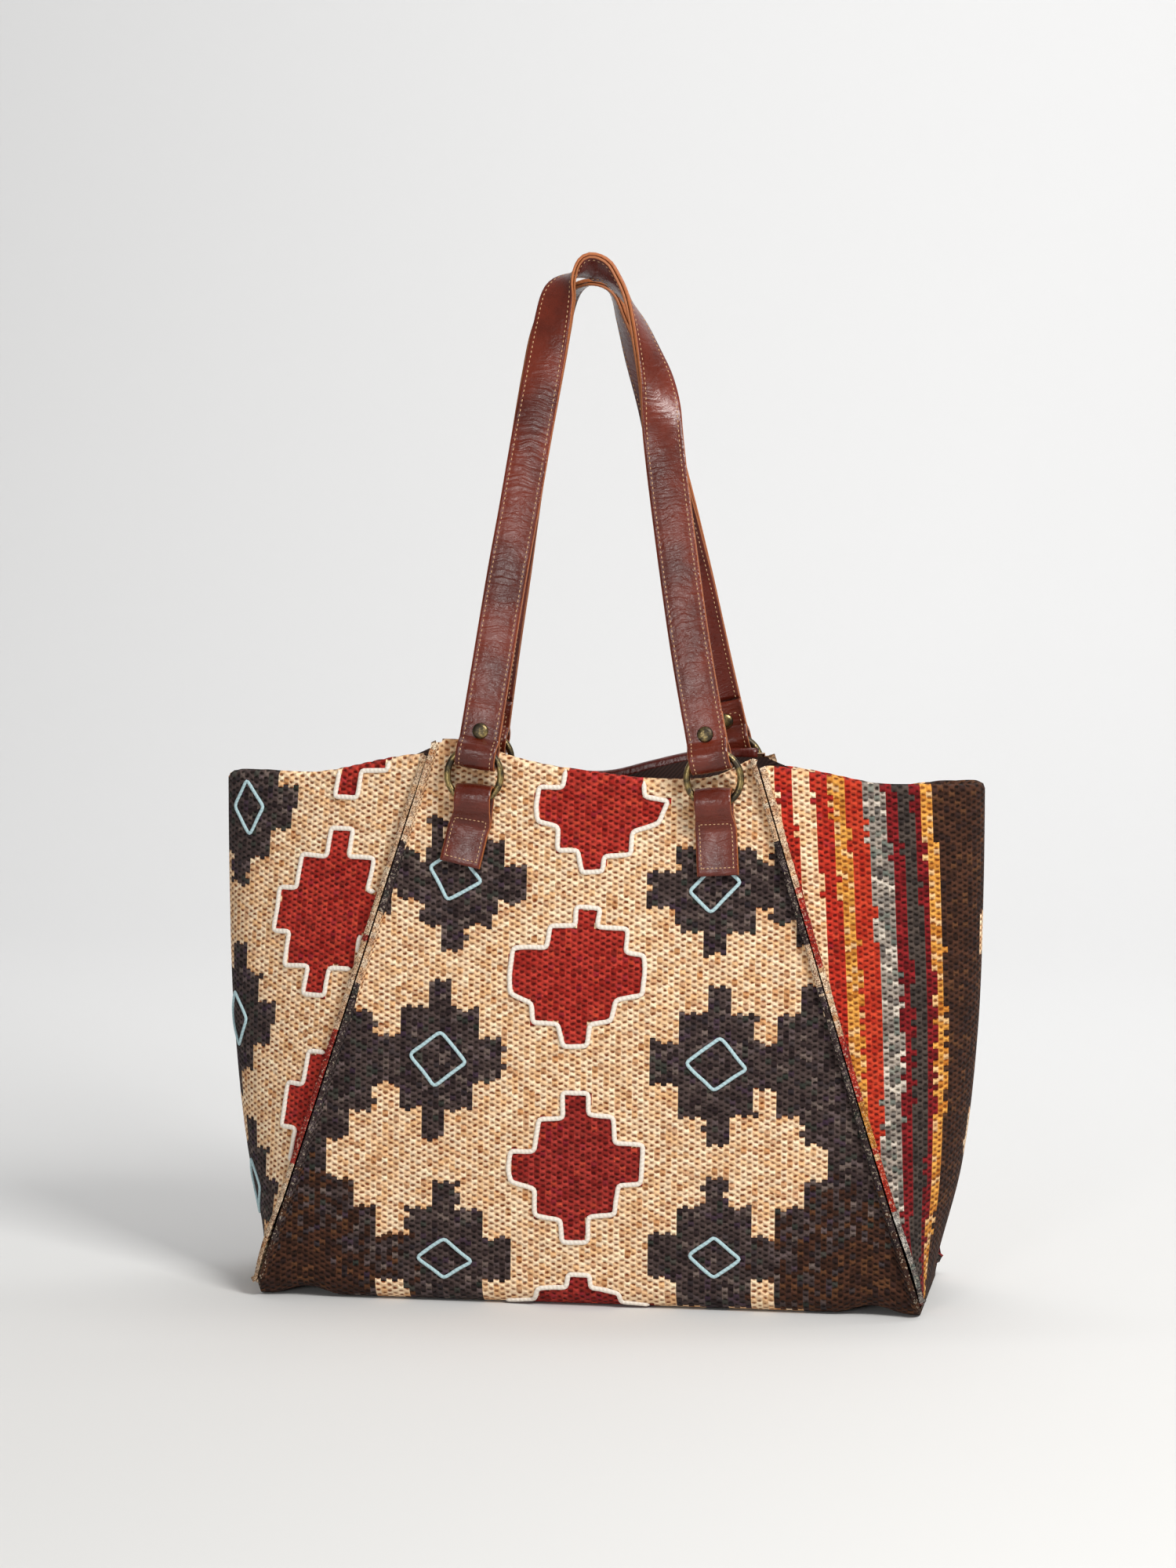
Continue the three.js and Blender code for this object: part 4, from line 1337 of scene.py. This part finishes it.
def leather_strip(bm, layer, stations, section, width):
    """A strip through stations of (centre, across, out), in mm, closed at both ends."""
    around = len(section)
    rows = [stations[0], *stations, stations[-1]]
    travel = [0.0]
    for a, b in zip(rows, rows[1:]):
        travel.append(travel[-1] + (b[0] - a[0]).length)

    def place(i, j):
        a, n = section[i % around]
        centre, across, out = rows[j]
        inset = width / 2 - abs(a)
        if j in (0, len(rows) - 1):
            n = 0.0
            inset = 0.0
        return (centre + across * a + out * n) * MM, (inset, travel[j])

    rolled(bm, around, len(rows) - 1, place, layer)


def sew(bm, spots):
    """One small bulged stitch at each (point, along, out), in mm."""
    for point, along, out in spots:
        axes = (
            along * STITCH_LENGTH / 2 * MM,
            along.cross(out) * STITCH_GIRTH * MM,
            out * STITCH_GIRTH * STITCH_FLAT * MM,
        )
        stitch = Matrix(axes).transposed().to_4x4()
        stitch.translation = point * MM
        bmesh.ops.create_icosphere(bm, subdivisions=1, radius=1.0, matrix=stitch)


def stitch_line(points, outs, pitch):
    """Stitches of even pitch along a line of points."""
    spots = []
    travel, due = 0.0, pitch / 2
    for k in range(len(points) - 1):
        step = points[k + 1] - points[k]
        while due <= travel + step.length and step.length > 1e-9:
            t = (due - travel) / step.length
            spots.append((points[k] + step * t, step.normalized(), outs[k].normalized()))
            due += pitch
        travel += step.length
    return spots


def mirror_back(stations):
    """The back's fittings are drawn as if at the front, and then mirrored through the middle plane."""
    return [tuple(Vector((v.x, -v.y, v.z)) for v in station) for station in stations]


# %% Smooth lines
def smooth_line(points):
    """A centripetal curve through points, for u from 0 to 1."""
    ends = [2 * points[0] - points[1], *points, 2 * points[-1] - points[-2]]

    def at(u):
        spot = clamp(u) * (len(points) - 1)
        i = min(int(spot), len(points) - 2)
        t = spot - i
        a, b, c, d = ends[i:i + 4]
        da, db, dc = (max((q - p).length ** 0.5, 1e-4) for p, q in ((a, b), (b, c), (c, d)))
        leave = ((b - a) / da - (c - a) / (da + db) + (c - b) / db) * db
        arrive = ((c - b) / db - (d - b) / (db + dc) + (d - c) / dc) * db
        return (b + leave * t + (-3 * b + 3 * c - 2 * leave - arrive) * t**2
                + (2 * b - 2 * c + leave + arrive) * t**3)

    return at


def flat_path(points, steps):
    """Samples of a smooth path in a plane of (out, up), each with the direction to its outer side."""
    line = smooth_line([Vector((out, up, 0)) for out, up in points])
    samples = []
    for k in range(steps + 1):
        u = k / steps
        along = (line(min(u + 1e-4, 1)) - line(max(u - 1e-4, 0))).normalized()
        spot = line(u)
        samples.append((spot.x, spot.y, -along.y, along.x))
    return samples


print("paths are smoothed as in the CAD")

# %% [markdown]
# ## Tabs
# Each tab is a strip folded round its ring, with both layers sewn flat to the kilim by a box of stitches.
# The path is drawn from the side, out and up, and then leans a little, because it was sewn by hand.

# %% Tabs
RING_RADIUS = 16.4
RING_WIRE = 4.2
RING_HEIGHT = 321.6
RING_DEPTH = 50.4
HANDS = ("left", "right")
RINGS = {"front": {"left": -70.5, "right": 75.8}, "back": {"left": -81.8, "right": 75.8}}
TAB_LOOP_WIDTH = 22.2
TAB_SEWN_WIDTH = 25.0
TAB_THICK = 1.7
TAB_RADIUS = 6 + TAB_THICK / 2
TAB_FRONT = -TAB_RADIUS + TAB_THICK + 0.4
TAB_LENGTHS = {"left": 42, "right": 45}
TAB_LOOP = RING_HEIGHT - 13.45
TAB_TILTS = {"left": (4, 12.5), "right": (-3, -3.5)}
TAB_ARC = [(TAB_RADIUS * math.cos(math.radians(a)), TAB_RADIUS * math.sin(math.radians(a)))
           for a in (160, 132, 104, 76, 48, 20)]
TAB_STEPS = 110
TAB_CROWN = 0.5
TAB_PITCH = 2.6
TAB_BOX_TOP = 13
END_STITCH_STEPS = 10


def tab_path(length):
    """A tab seen from its side, as (out, up) from the middle of its loop."""
    back = [(-TAB_RADIUS, height) for height in (-length, -30, -16, -6, 0)]
    bulge = [(TAB_RADIUS, 0), (TAB_RADIUS - 0.4, -3), (TAB_RADIUS - 2.6, -7), (-0.4, -12),
             (TAB_FRONT + 0.6, -17)]
    front = [(TAB_FRONT, height) for height in (-21, -31, -length)]
    return back + TAB_ARC + bulge + front


def tab_stations(place, hand):
    ring_x = RINGS[place][hand]
    length = TAB_LENGTHS[hand]
    tilt, end_tilt = TAB_TILTS[hand]

    def wall(z):
        return Vector((0, -(half_depth(z) + HALF + belly(ring_x / half_width(z), z)), z))

    up = (wall(TAB_LOOP) - wall(TAB_LOOP - length)).normalized()
    out = Vector((0, -up.z, up.y))
    sideways = Vector((1, 0, 0))
    origin = Vector((ring_x, -RING_DEPTH, TAB_LOOP))
    stations = []
    for away, height, face_out_by, face_up_by in flat_path(tab_path(length), TAB_STEPS):
        lean = math.radians(mix(tilt, end_tilt, clamp((-height - 6) / 14)))
        spine = up * math.cos(lean) + sideways * math.sin(lean)
        width = mix(TAB_LOOP_WIDTH, TAB_SEWN_WIDTH, clamp((-height - 8) / 8))
        across = (sideways * math.cos(lean) - up * math.sin(lean)) * width / TAB_SEWN_WIDTH
        centre = origin + spine * height + out * away
        stations.append((centre, across, out * face_out_by + spine * face_up_by))
    return stations


def tab_stitches(stations):
    """A box of stitches on the front layer, from near its lower end to just under the loop."""
    lower = [s for s in stations[len(stations) // 2:] if s[0].z < TAB_LOOP - TAB_BOX_TOP]
    lower = [s for s in lower if (s[0] - lower[-1][0]).length > STITCH_INSET]
    edge = TAB_SEWN_WIDTH / 2 - STITCH_INSET
    spots = []
    for sign in (-1, 1):
        side = [c + across * sign * edge + out * (TAB_THICK / 2 + 0.1) for c, across, out in lower]
        spots += stitch_line(side, [out for _, _, out in lower], TAB_PITCH)
    for station in (lower[0], lower[-1]):
        spots += cross_stitches(station, edge, TAB_THICK / 2 + 0.4, TAB_PITCH)
    return spots


def cross_stitches(station, edge, lift_off, pitch):
    """A seam straight across a strip, from edge to edge."""
    centre, across, out = station
    shares = [k / END_STITCH_STEPS for k in range(END_STITCH_STEPS + 1)]
    points = [centre + across * mix(-edge, edge, share) + out * lift_off for share in shares]
    return stitch_line(points, [out] * len(points), pitch)


def make_tab(place, hand):
    stations = tab_stations(place, hand)
    if place == "back":
        stations = mirror_back(stations)
    bm, layer = new_mesh("hide")
    section = strip_section(TAB_SEWN_WIDTH, TAB_THICK, TAB_CROWN)
    leather_strip(bm, layer, stations, section, TAB_SEWN_WIDTH)
    bmesh.ops.recalc_face_normals(bm, faces=bm.faces)
    make_piece(f"{place}_{hand}_tab_leather", bm, (brown_hide,), "bag", (f"{place}_{hand}_tab",))
    bm = bmesh.new()
    sew(bm, tab_stitches(stations))
    make_piece(f"{place}_{hand}_tab_stitches", bm, (thread,), "bag")


for place_name in RINGS:
    for hand_name in HANDS:
        make_tab(place_name, hand_name)

# %% [markdown]
# ## Handles
# A handle is two plies sewn together. The outer one goes down round both rings and its tails turn up inside.
# The inner one lies between the tails. Near the top the strap turns over, so its inner side faces the front.
# The line is given by the centre and the direction across at a few places, and both edges are smooth curves
# through them. The back handle leans to the left. It is drawn as if it stood in front, and then mirrored.

# %% Handle line
STRAP_WIDTH = 24.4
STRAP_THICK = 2.2
BACKING_THICK = 1.8
PLY_GAP = 0.4
LOOP_HEIGHT = RING_HEIGHT + 12.83
LOOP_SHIFTS = {"left": 2.0, "right": -2.4}
LOOP_HALF = 5.7
LOOP_DEPTH = 8.0
LOOP_STEPS = 90
TAIL_END = 26
RIVET_RISE = 14
LEFT_LEAN = (-0.987, 0, 0.16)
RIGHT_LEAN = (0.987, 0, 0.16)
HANDLE_KEYS = {
    # centre, then the direction from the inner edge to the outer edge
    "front": (
        ((-60.4, -44.6, 387), LEFT_LEAN),
        ((-51.4, -38, 446), LEFT_LEAN),
        ((-45.6, -34.4, 480), LEFT_LEAN),
        ((-38.5, -29, 525), (-0.987, 0.03, 0.155)),
        ((-30.8, -23.5, 570), (-0.98, 0.12, 0.15)),
        ((-26.8, -20.8, 592.6), (-0.955, 0.27, 0.1)),
        ((-22.7, -17.8, 612), (-0.88, 0.45, -0.12)),
        ((-16.2, -16, 621), (-0.67, 0.65, -0.36)),
        ((-6, -14.6, 627.2), (-0.36, 0.74, -0.57)),
        ((3, -14.2, 625.6), (-0.26, 0.84, -0.48)),
        ((10, -14.2, 618.6), (-0.2, 0.92, -0.33)),
        ((16.7, -14.6, 608.8), (-0.1, 0.97, -0.2)),
        ((23.2, -16, 596), (0.13, 0.98, -0.06)),
        ((30, -19, 578), (0.42, 0.91, 0)),
        ((36, -23, 560.5), (0.7, 0.71, 0.07)),
        ((39.2, -26, 546), (0.86, 0.48, 0.13)),
        ((41.6, -28.8, 527), (0.97, 0.14, 0.16)),
        ((47, -34, 488), RIGHT_LEAN),
        ((60.4, -43.6, 402), RIGHT_LEAN),
    ),
    "back": (
        ((-71.4, -43.6, 388), LEFT_LEAN),
        ((-63.2, -38.5, 437.6), LEFT_LEAN),
        ((-58.2, -35, 469), (-0.97, 0.18, 0.155)),
        ((-50.3, -29.6, 515), (-0.93, 0.32, 0.14)),
        ((-41.7, -24, 560), (-0.9, 0.42, 0.1)),
        ((-35.4, -20.6, 588), (-0.83, 0.55, 0.02)),
        ((-28, -18, 606), (-0.66, 0.74, -0.1)),
        ((-18, -16.6, 615.5), (-0.36, 0.92, -0.16)),
        ((-6.5, -16, 619.5), (-0.05, 0.99, -0.1)),
        ((4, -16.4, 613), (0.18, 0.98, 0)),
        ((10.4, -18, 595), (0.35, 0.935, 0)),
        ((17.6, -21, 572), (0.56, 0.83, 0.01)),
        ((27, -25, 544), (0.76, 0.65, 0.05)),
        ((35, -29, 512), (0.88, 0.46, 0.1)),
        ((41.8, -33, 482), (0.93, 0.34, 0.14)),
        ((46.8, -36, 458), (0.97, 0.18, 0.15)),
        ((53.5, -39.6, 427), RIGHT_LEAN),
        ((63.4, -44.8, 380), RIGHT_LEAN),
    ),
}
LINE_STEPS = 400
LINE_NUDGE = 0.002


class HandleLine:
    """The middle line of one handle, from 0 at the left ring to 1 at the right."""

    def __init__(self, place):
        left, right = [(RINGS[place][hand] + LOOP_SHIFTS[hand], -RING_DEPTH, LOOP_HEIGHT) for hand in HANDS]
        keys = [(left, LEFT_LEAN), *HANDLE_KEYS[place], (right, RIGHT_LEAN)]
        self.near, self.far = [
            smooth_line([Vector(c) + Vector(a).normalized() * sign * STRAP_WIDTH / 2 for c, a in keys])
            for sign in (-1, 1)
        ]
        self.lengths = [0.0]
        for n in range(LINE_STEPS):
            gap = self.centre((n + 1) / LINE_STEPS) - self.centre(n / LINE_STEPS)
            self.lengths.append(self.lengths[-1] + gap.length)
        self.length = self.lengths[-1]

    def centre(self, u):
        return (self.near(u) + self.far(u)) / 2

    def frame(self, u):
        """Centre, then the directions along, across and out."""
        ahead, behind = min(u + LINE_NUDGE, 1), max(u - LINE_NUDGE, 0)
        along = (self.centre(ahead) - self.centre(behind)).normalized()
        across = (self.far(u) - self.near(u)).normalized()
        out = along.cross(across).normalized()
        return self.centre(u), along, out.cross(along).normalized(), out

    def at(self, length):
        k = next((i for i in range(1, LINE_STEPS) if self.lengths[i] > length), LINE_STEPS)
        t = (length - self.lengths[k - 1]) / (self.lengths[k] - self.lengths[k - 1])
        return self.frame(clamp((k - 1 + t) / LINE_STEPS))

    def stations(self, first, last, offset, count, flip=1):
        made = []
        for k in range(count + 1):
            centre, _, across, out = self.at(mix(first, last, k / count))
            made.append((centre + out * offset, across, out * flip))
        return made

    def end(self, hand):
        """Centre of the loop, then the directions across, out and up the leg."""
        centre, along, across, out = self.frame(0 if hand == "left" else 1)
        return centre, across, out, along if hand == "left" else -along


handle_lines = {place_name: HandleLine(place_name) for place_name in RINGS}
for place_name, handle_line in handle_lines.items():
    print(place_name, "handle is", round(handle_line.length), "mm from ring to ring")

# %% Handles
PLY_OFFSET = (STRAP_THICK + PLY_GAP) / 2
LOOP_OFFSET = LOOP_HALF + STRAP_THICK / 2
LOOP_ARC = [(LOOP_OFFSET * math.cos(math.radians(a)), LOOP_DEPTH * math.sin(math.radians(a)))
            for a in (-25, -51, -77, -103, -129, -155)]
LOOP_SIDE = [(PLY_OFFSET, 16), (PLY_OFFSET, 11.8), (PLY_OFFSET + 0.03, 9.5), (2, 8), (3.9, 6.3), (5.8, 4.5),
             (LOOP_OFFSET, 2.1), (LOOP_OFFSET, 0)]
STRAP_END = [(PLY_OFFSET, 22), *LOOP_SIDE, *LOOP_ARC, *[(-a, h) for a, h in reversed(LOOP_SIDE)],
             (-PLY_OFFSET, TAIL_END)]
BACKING_OFFSET = PLY_OFFSET - (STRAP_THICK + BACKING_THICK) / 2 - PLY_GAP
BACKING_NARROWER = 0.4
STRAP_START = 26
STRAP_CROWN = 0.35
HANDLE_STEPS = 230
STITCH_SINK = 0.05
STITCH_PITCH = 3.0


def loop_stations(line, hand):
    """Down the outside of a strap's end, round its ring, and up inside."""
    centre, across, out, upward = line.end(hand)
    stations = []
    for away, height, face_out_by, face_up_by in flat_path(STRAP_END, LOOP_STEPS):
        face = out * face_out_by + upward * face_up_by
        stations.append((centre + out * away + upward * height, across, face))
    return stations


def edge_stitches(stations, lift_off):
    spots = []
    for sign in (-1, 1):
        edge = sign * (STRAP_WIDTH / 2 - STITCH_INSET)
        points = [c + across * edge + out * lift_off for c, across, out in stations]
        spots += stitch_line(points, [out for _, _, out in stations], STITCH_PITCH)
    return spots


def tail_stitches(stations):
    """On a tail inside, a seam up both edges and across its end."""
    tail = stations[LOOP_STEPS * 6 // 10:-3]
    edge = STRAP_WIDTH / 2 - STITCH_INSET
    end = cross_stitches(tail[-1], edge, STRAP_THICK / 2 + 0.2, STITCH_PITCH)
    return edge_stitches(tail, STRAP_THICK / 2 - STITCH_SINK) + end


def make_handle(place):
    line = handle_lines[place]
    turn = mirror_back if place == "back" else list
    body = f"{place}_handle"
    loops = {hand: loop_stations(line, hand) for hand in HANDS}
    middle = line.stations(STRAP_START, line.length - STRAP_START, PLY_OFFSET, HANDLE_STEPS)
    outer = [*reversed(loops["left"]), *middle, *loops["right"]]
    inner = line.stations(TAIL_END + 1, line.length - TAIL_END - 1, BACKING_OFFSET, HANDLE_STEPS, -1)
    inner_width = STRAP_WIDTH - BACKING_NARROWER
    for name, stations, width, thick, hide, node in (
        (f"{place}_strap_leather", outer, STRAP_WIDTH, STRAP_THICK, brown_hide, f"{place}_strap"),
        # the inside ply takes the darker leather, which on it is partly painted shade
        (f"{place}_strap_inside", inner, inner_width, BACKING_THICK, darker_and_shaded_hide, f"{place}_strap_backing"),
    ):
        bm, layer = new_mesh("hide")
        leather_strip(bm, layer, turn(stations), strip_section(width, thick, STRAP_CROWN), width)
        bmesh.ops.recalc_face_normals(bm, faces=bm.faces)
        make_piece(name, bm, (hide,), body, (node,))
    bm = bmesh.new()
    down = LOOP_STEPS // 2
    face = [*reversed(loops["left"][:down]), *middle, *loops["right"][:down]]
    spots = edge_stitches(face, STRAP_THICK / 2 - STITCH_SINK)
    spots += edge_stitches(inner, BACKING_THICK / 2 - STITCH_SINK)
    for hand in HANDS:
        spots += tail_stitches(loops[hand])
    sew(bm, turn(spots))
    make_piece(f"{place}_strap_stitches", bm, (thread,), body)


for place_name in RINGS:
    make_handle(place_name)

# %% [markdown]
# ## Rings and rivets
# The metal is brass with a dark antique finish that has worn bright in places. A ring is a small circle spun
# round the ring's axis, and a rivet is half of its outline spun round its post.

# %% Brass
BRASS_RELIEF = 0.00008
RING_SIDES = 16
RING_STEPS = 56
RIVET_STEPS = 28
RIVET_POST = 1.4
RIVET_GAP = 0.35
RIVET_CAP = [(0, 1.7), (2.4, 1.66), (3.3, 1.5), (4.2, 1.05), (4.85, 0.4), (4.9, 0.0)]


def brass_finish():
    brass = Finish("antique_brass")
    cloud = brass.grain(160, 3.0)
    spots = brass.grain(900, 3.0, rough=0.7)
    worn = brass.ease(cloud * 0.7 + spots * 0.3, 0.42, 0.62)
    tone = brass.mix(worn, dye("474036"), dye("A08C5C"))
    brass.shade({
        "Base Color": tone,
        "Metallic": 1.0,
        "Roughness": 0.46 - worn * 0.16,
        "Normal": brass.relief(spots, BRASS_RELIEF),
    })
    return brass


antique_brass = brass_finish()


def spin_round(bm, axis, steps):
    """Spins the whole outline once round an axis through the origin."""
    bmesh.ops.spin(bm, geom=[*bm.verts, *bm.edges], cent=(0, 0, 0), axis=axis, angle=2 * math.pi, steps=steps,
                   use_merge=True)


def make_ring(place, hand):
    side = 1 if place == "back" else -1
    spot = Vector((RINGS[place][hand], side * RING_DEPTH, RING_HEIGHT)) * MM
    bm = bmesh.new()
    bmesh.ops.create_circle(bm, segments=RING_SIDES, radius=RING_WIRE / 2 * MM)
    bmesh.ops.translate(bm, verts=bm.verts, vec=(RING_RADIUS * MM, 0, 0))
    spin_round(bm, (0, 1, 0), RING_STEPS)
    bmesh.ops.translate(bm, verts=bm.verts, vec=spot)
    bmesh.ops.remove_doubles(bm, verts=bm.verts, dist=1e-6)
    bmesh.ops.recalc_face_normals(bm, faces=bm.faces)
    name = f"{place}_{hand}_ring"
    make_piece(f"{name}_brass", bm, (antique_brass,), name, (name,))


def make_rivet(place, hand):
    centre, across, out, upward = handle_lines[place].end(hand)
    base = PLY_OFFSET + STRAP_THICK / 2 + RIVET_GAP
    profile = [(r, base + h) for r, h in RIVET_CAP] + [(RIVET_POST, base), (RIVET_POST, -base)]
    profile += [(r, -base - h) for r, h in reversed(RIVET_CAP)]
    bm = bmesh.new()
    verts = [bm.verts.new((r * MM, 0, h * MM)) for r, h in profile]
    for pair in zip(verts, verts[1:]):
        bm.edges.new(pair)
    spin_round(bm, (0, 0, 1), RIVET_STEPS)
    bmesh.ops.remove_doubles(bm, verts=bm.verts, dist=1e-6)
    turn = Matrix((across, out.cross(across), out)).transposed().to_4x4()
    turn.translation = (centre + upward * RIVET_RISE) * MM
    bmesh.ops.transform(bm, matrix=turn, verts=bm.verts)
    if place == "back":
        bmesh.ops.scale(bm, vec=(1, -1, 1), verts=bm.verts)
    bmesh.ops.recalc_face_normals(bm, faces=bm.faces)
    name = f"{place}_{hand}_rivet"
    make_piece(f"{name}_brass", bm, (antique_brass,), f"{place}_handle", (name,))


for place_name in RINGS:
    for hand_name in HANDS:
        make_ring(place_name, hand_name)
        make_rivet(place_name, hand_name)

# %% [markdown]
# ## Back binding
# The rim of the back is bound with a thin strip of the dark leather, folded over it like a channel.

# %% Back binding
BINDING_HALF_LENGTH = 92
BINDING_HALF_WIDTH = HALF + 0.7 + 1.3
BINDING_LEG = 5.0
BINDING_THICK = 1.2
BINDING_STEPS = 70
BINDING_SHOULDER = -2
BINDING_CROWN = 2.0
BINDING_ROUND = 0.7
BINDING_INNER_TOP = 0.7
BINDING_INSET = 0.1


def binding_section():
    """The channel's outline seen from its end, as (out, up) from the rim."""
    side = [(BINDING_HALF_WIDTH + 0.3, -BINDING_LEG), (BINDING_HALF_WIDTH + 0.1, BINDING_SHOULDER)]
    top = []
    for a in range(0, 181, 20):
        angle = math.radians(a)
        top.append((BINDING_HALF_WIDTH * math.cos(angle), BINDING_CROWN * math.sin(angle) ** BINDING_ROUND))
    far_side = [(-out, up) for out, up in reversed(side)]
    hollow = BINDING_HALF_WIDTH - BINDING_THICK
    near = [(hollow, BINDING_INNER_TOP), (hollow, -BINDING_LEG)]
    inner = [(-out, up) for out, up in reversed(near)] + near
    return side + top + far_side + inner


def make_binding():
    section = binding_section()
    around = len(section)
    bm, layer = new_mesh("hide")

    def place(i, j):
        out, up = section[i % around]
        x = mix(-BINDING_HALF_LENGTH, BINDING_HALF_LENGTH, clamp((j - 1) / (BINDING_STEPS - 2)))
        z = strip_rim(BACK_RIM, x)
        y = half_depth(z) + belly(x / RIM_HALF_WIDTH, z)
        inset = up + BINDING_LEG + BINDING_INSET
        if j in (0, BINDING_STEPS):
            out = math.copysign(BINDING_HALF_WIDTH - BINDING_THICK / 2, out)
        return Vector((x, y + out, z + up)) * MM, (inset, x)

    rolled(bm, around, BINDING_STEPS, place, layer)
    bmesh.ops.recalc_face_normals(bm, faces=bm.faces)
    make_piece("back_rim_binding", bm, (darker_and_shaded_hide,), "bag", ("back_binding",))


make_binding()
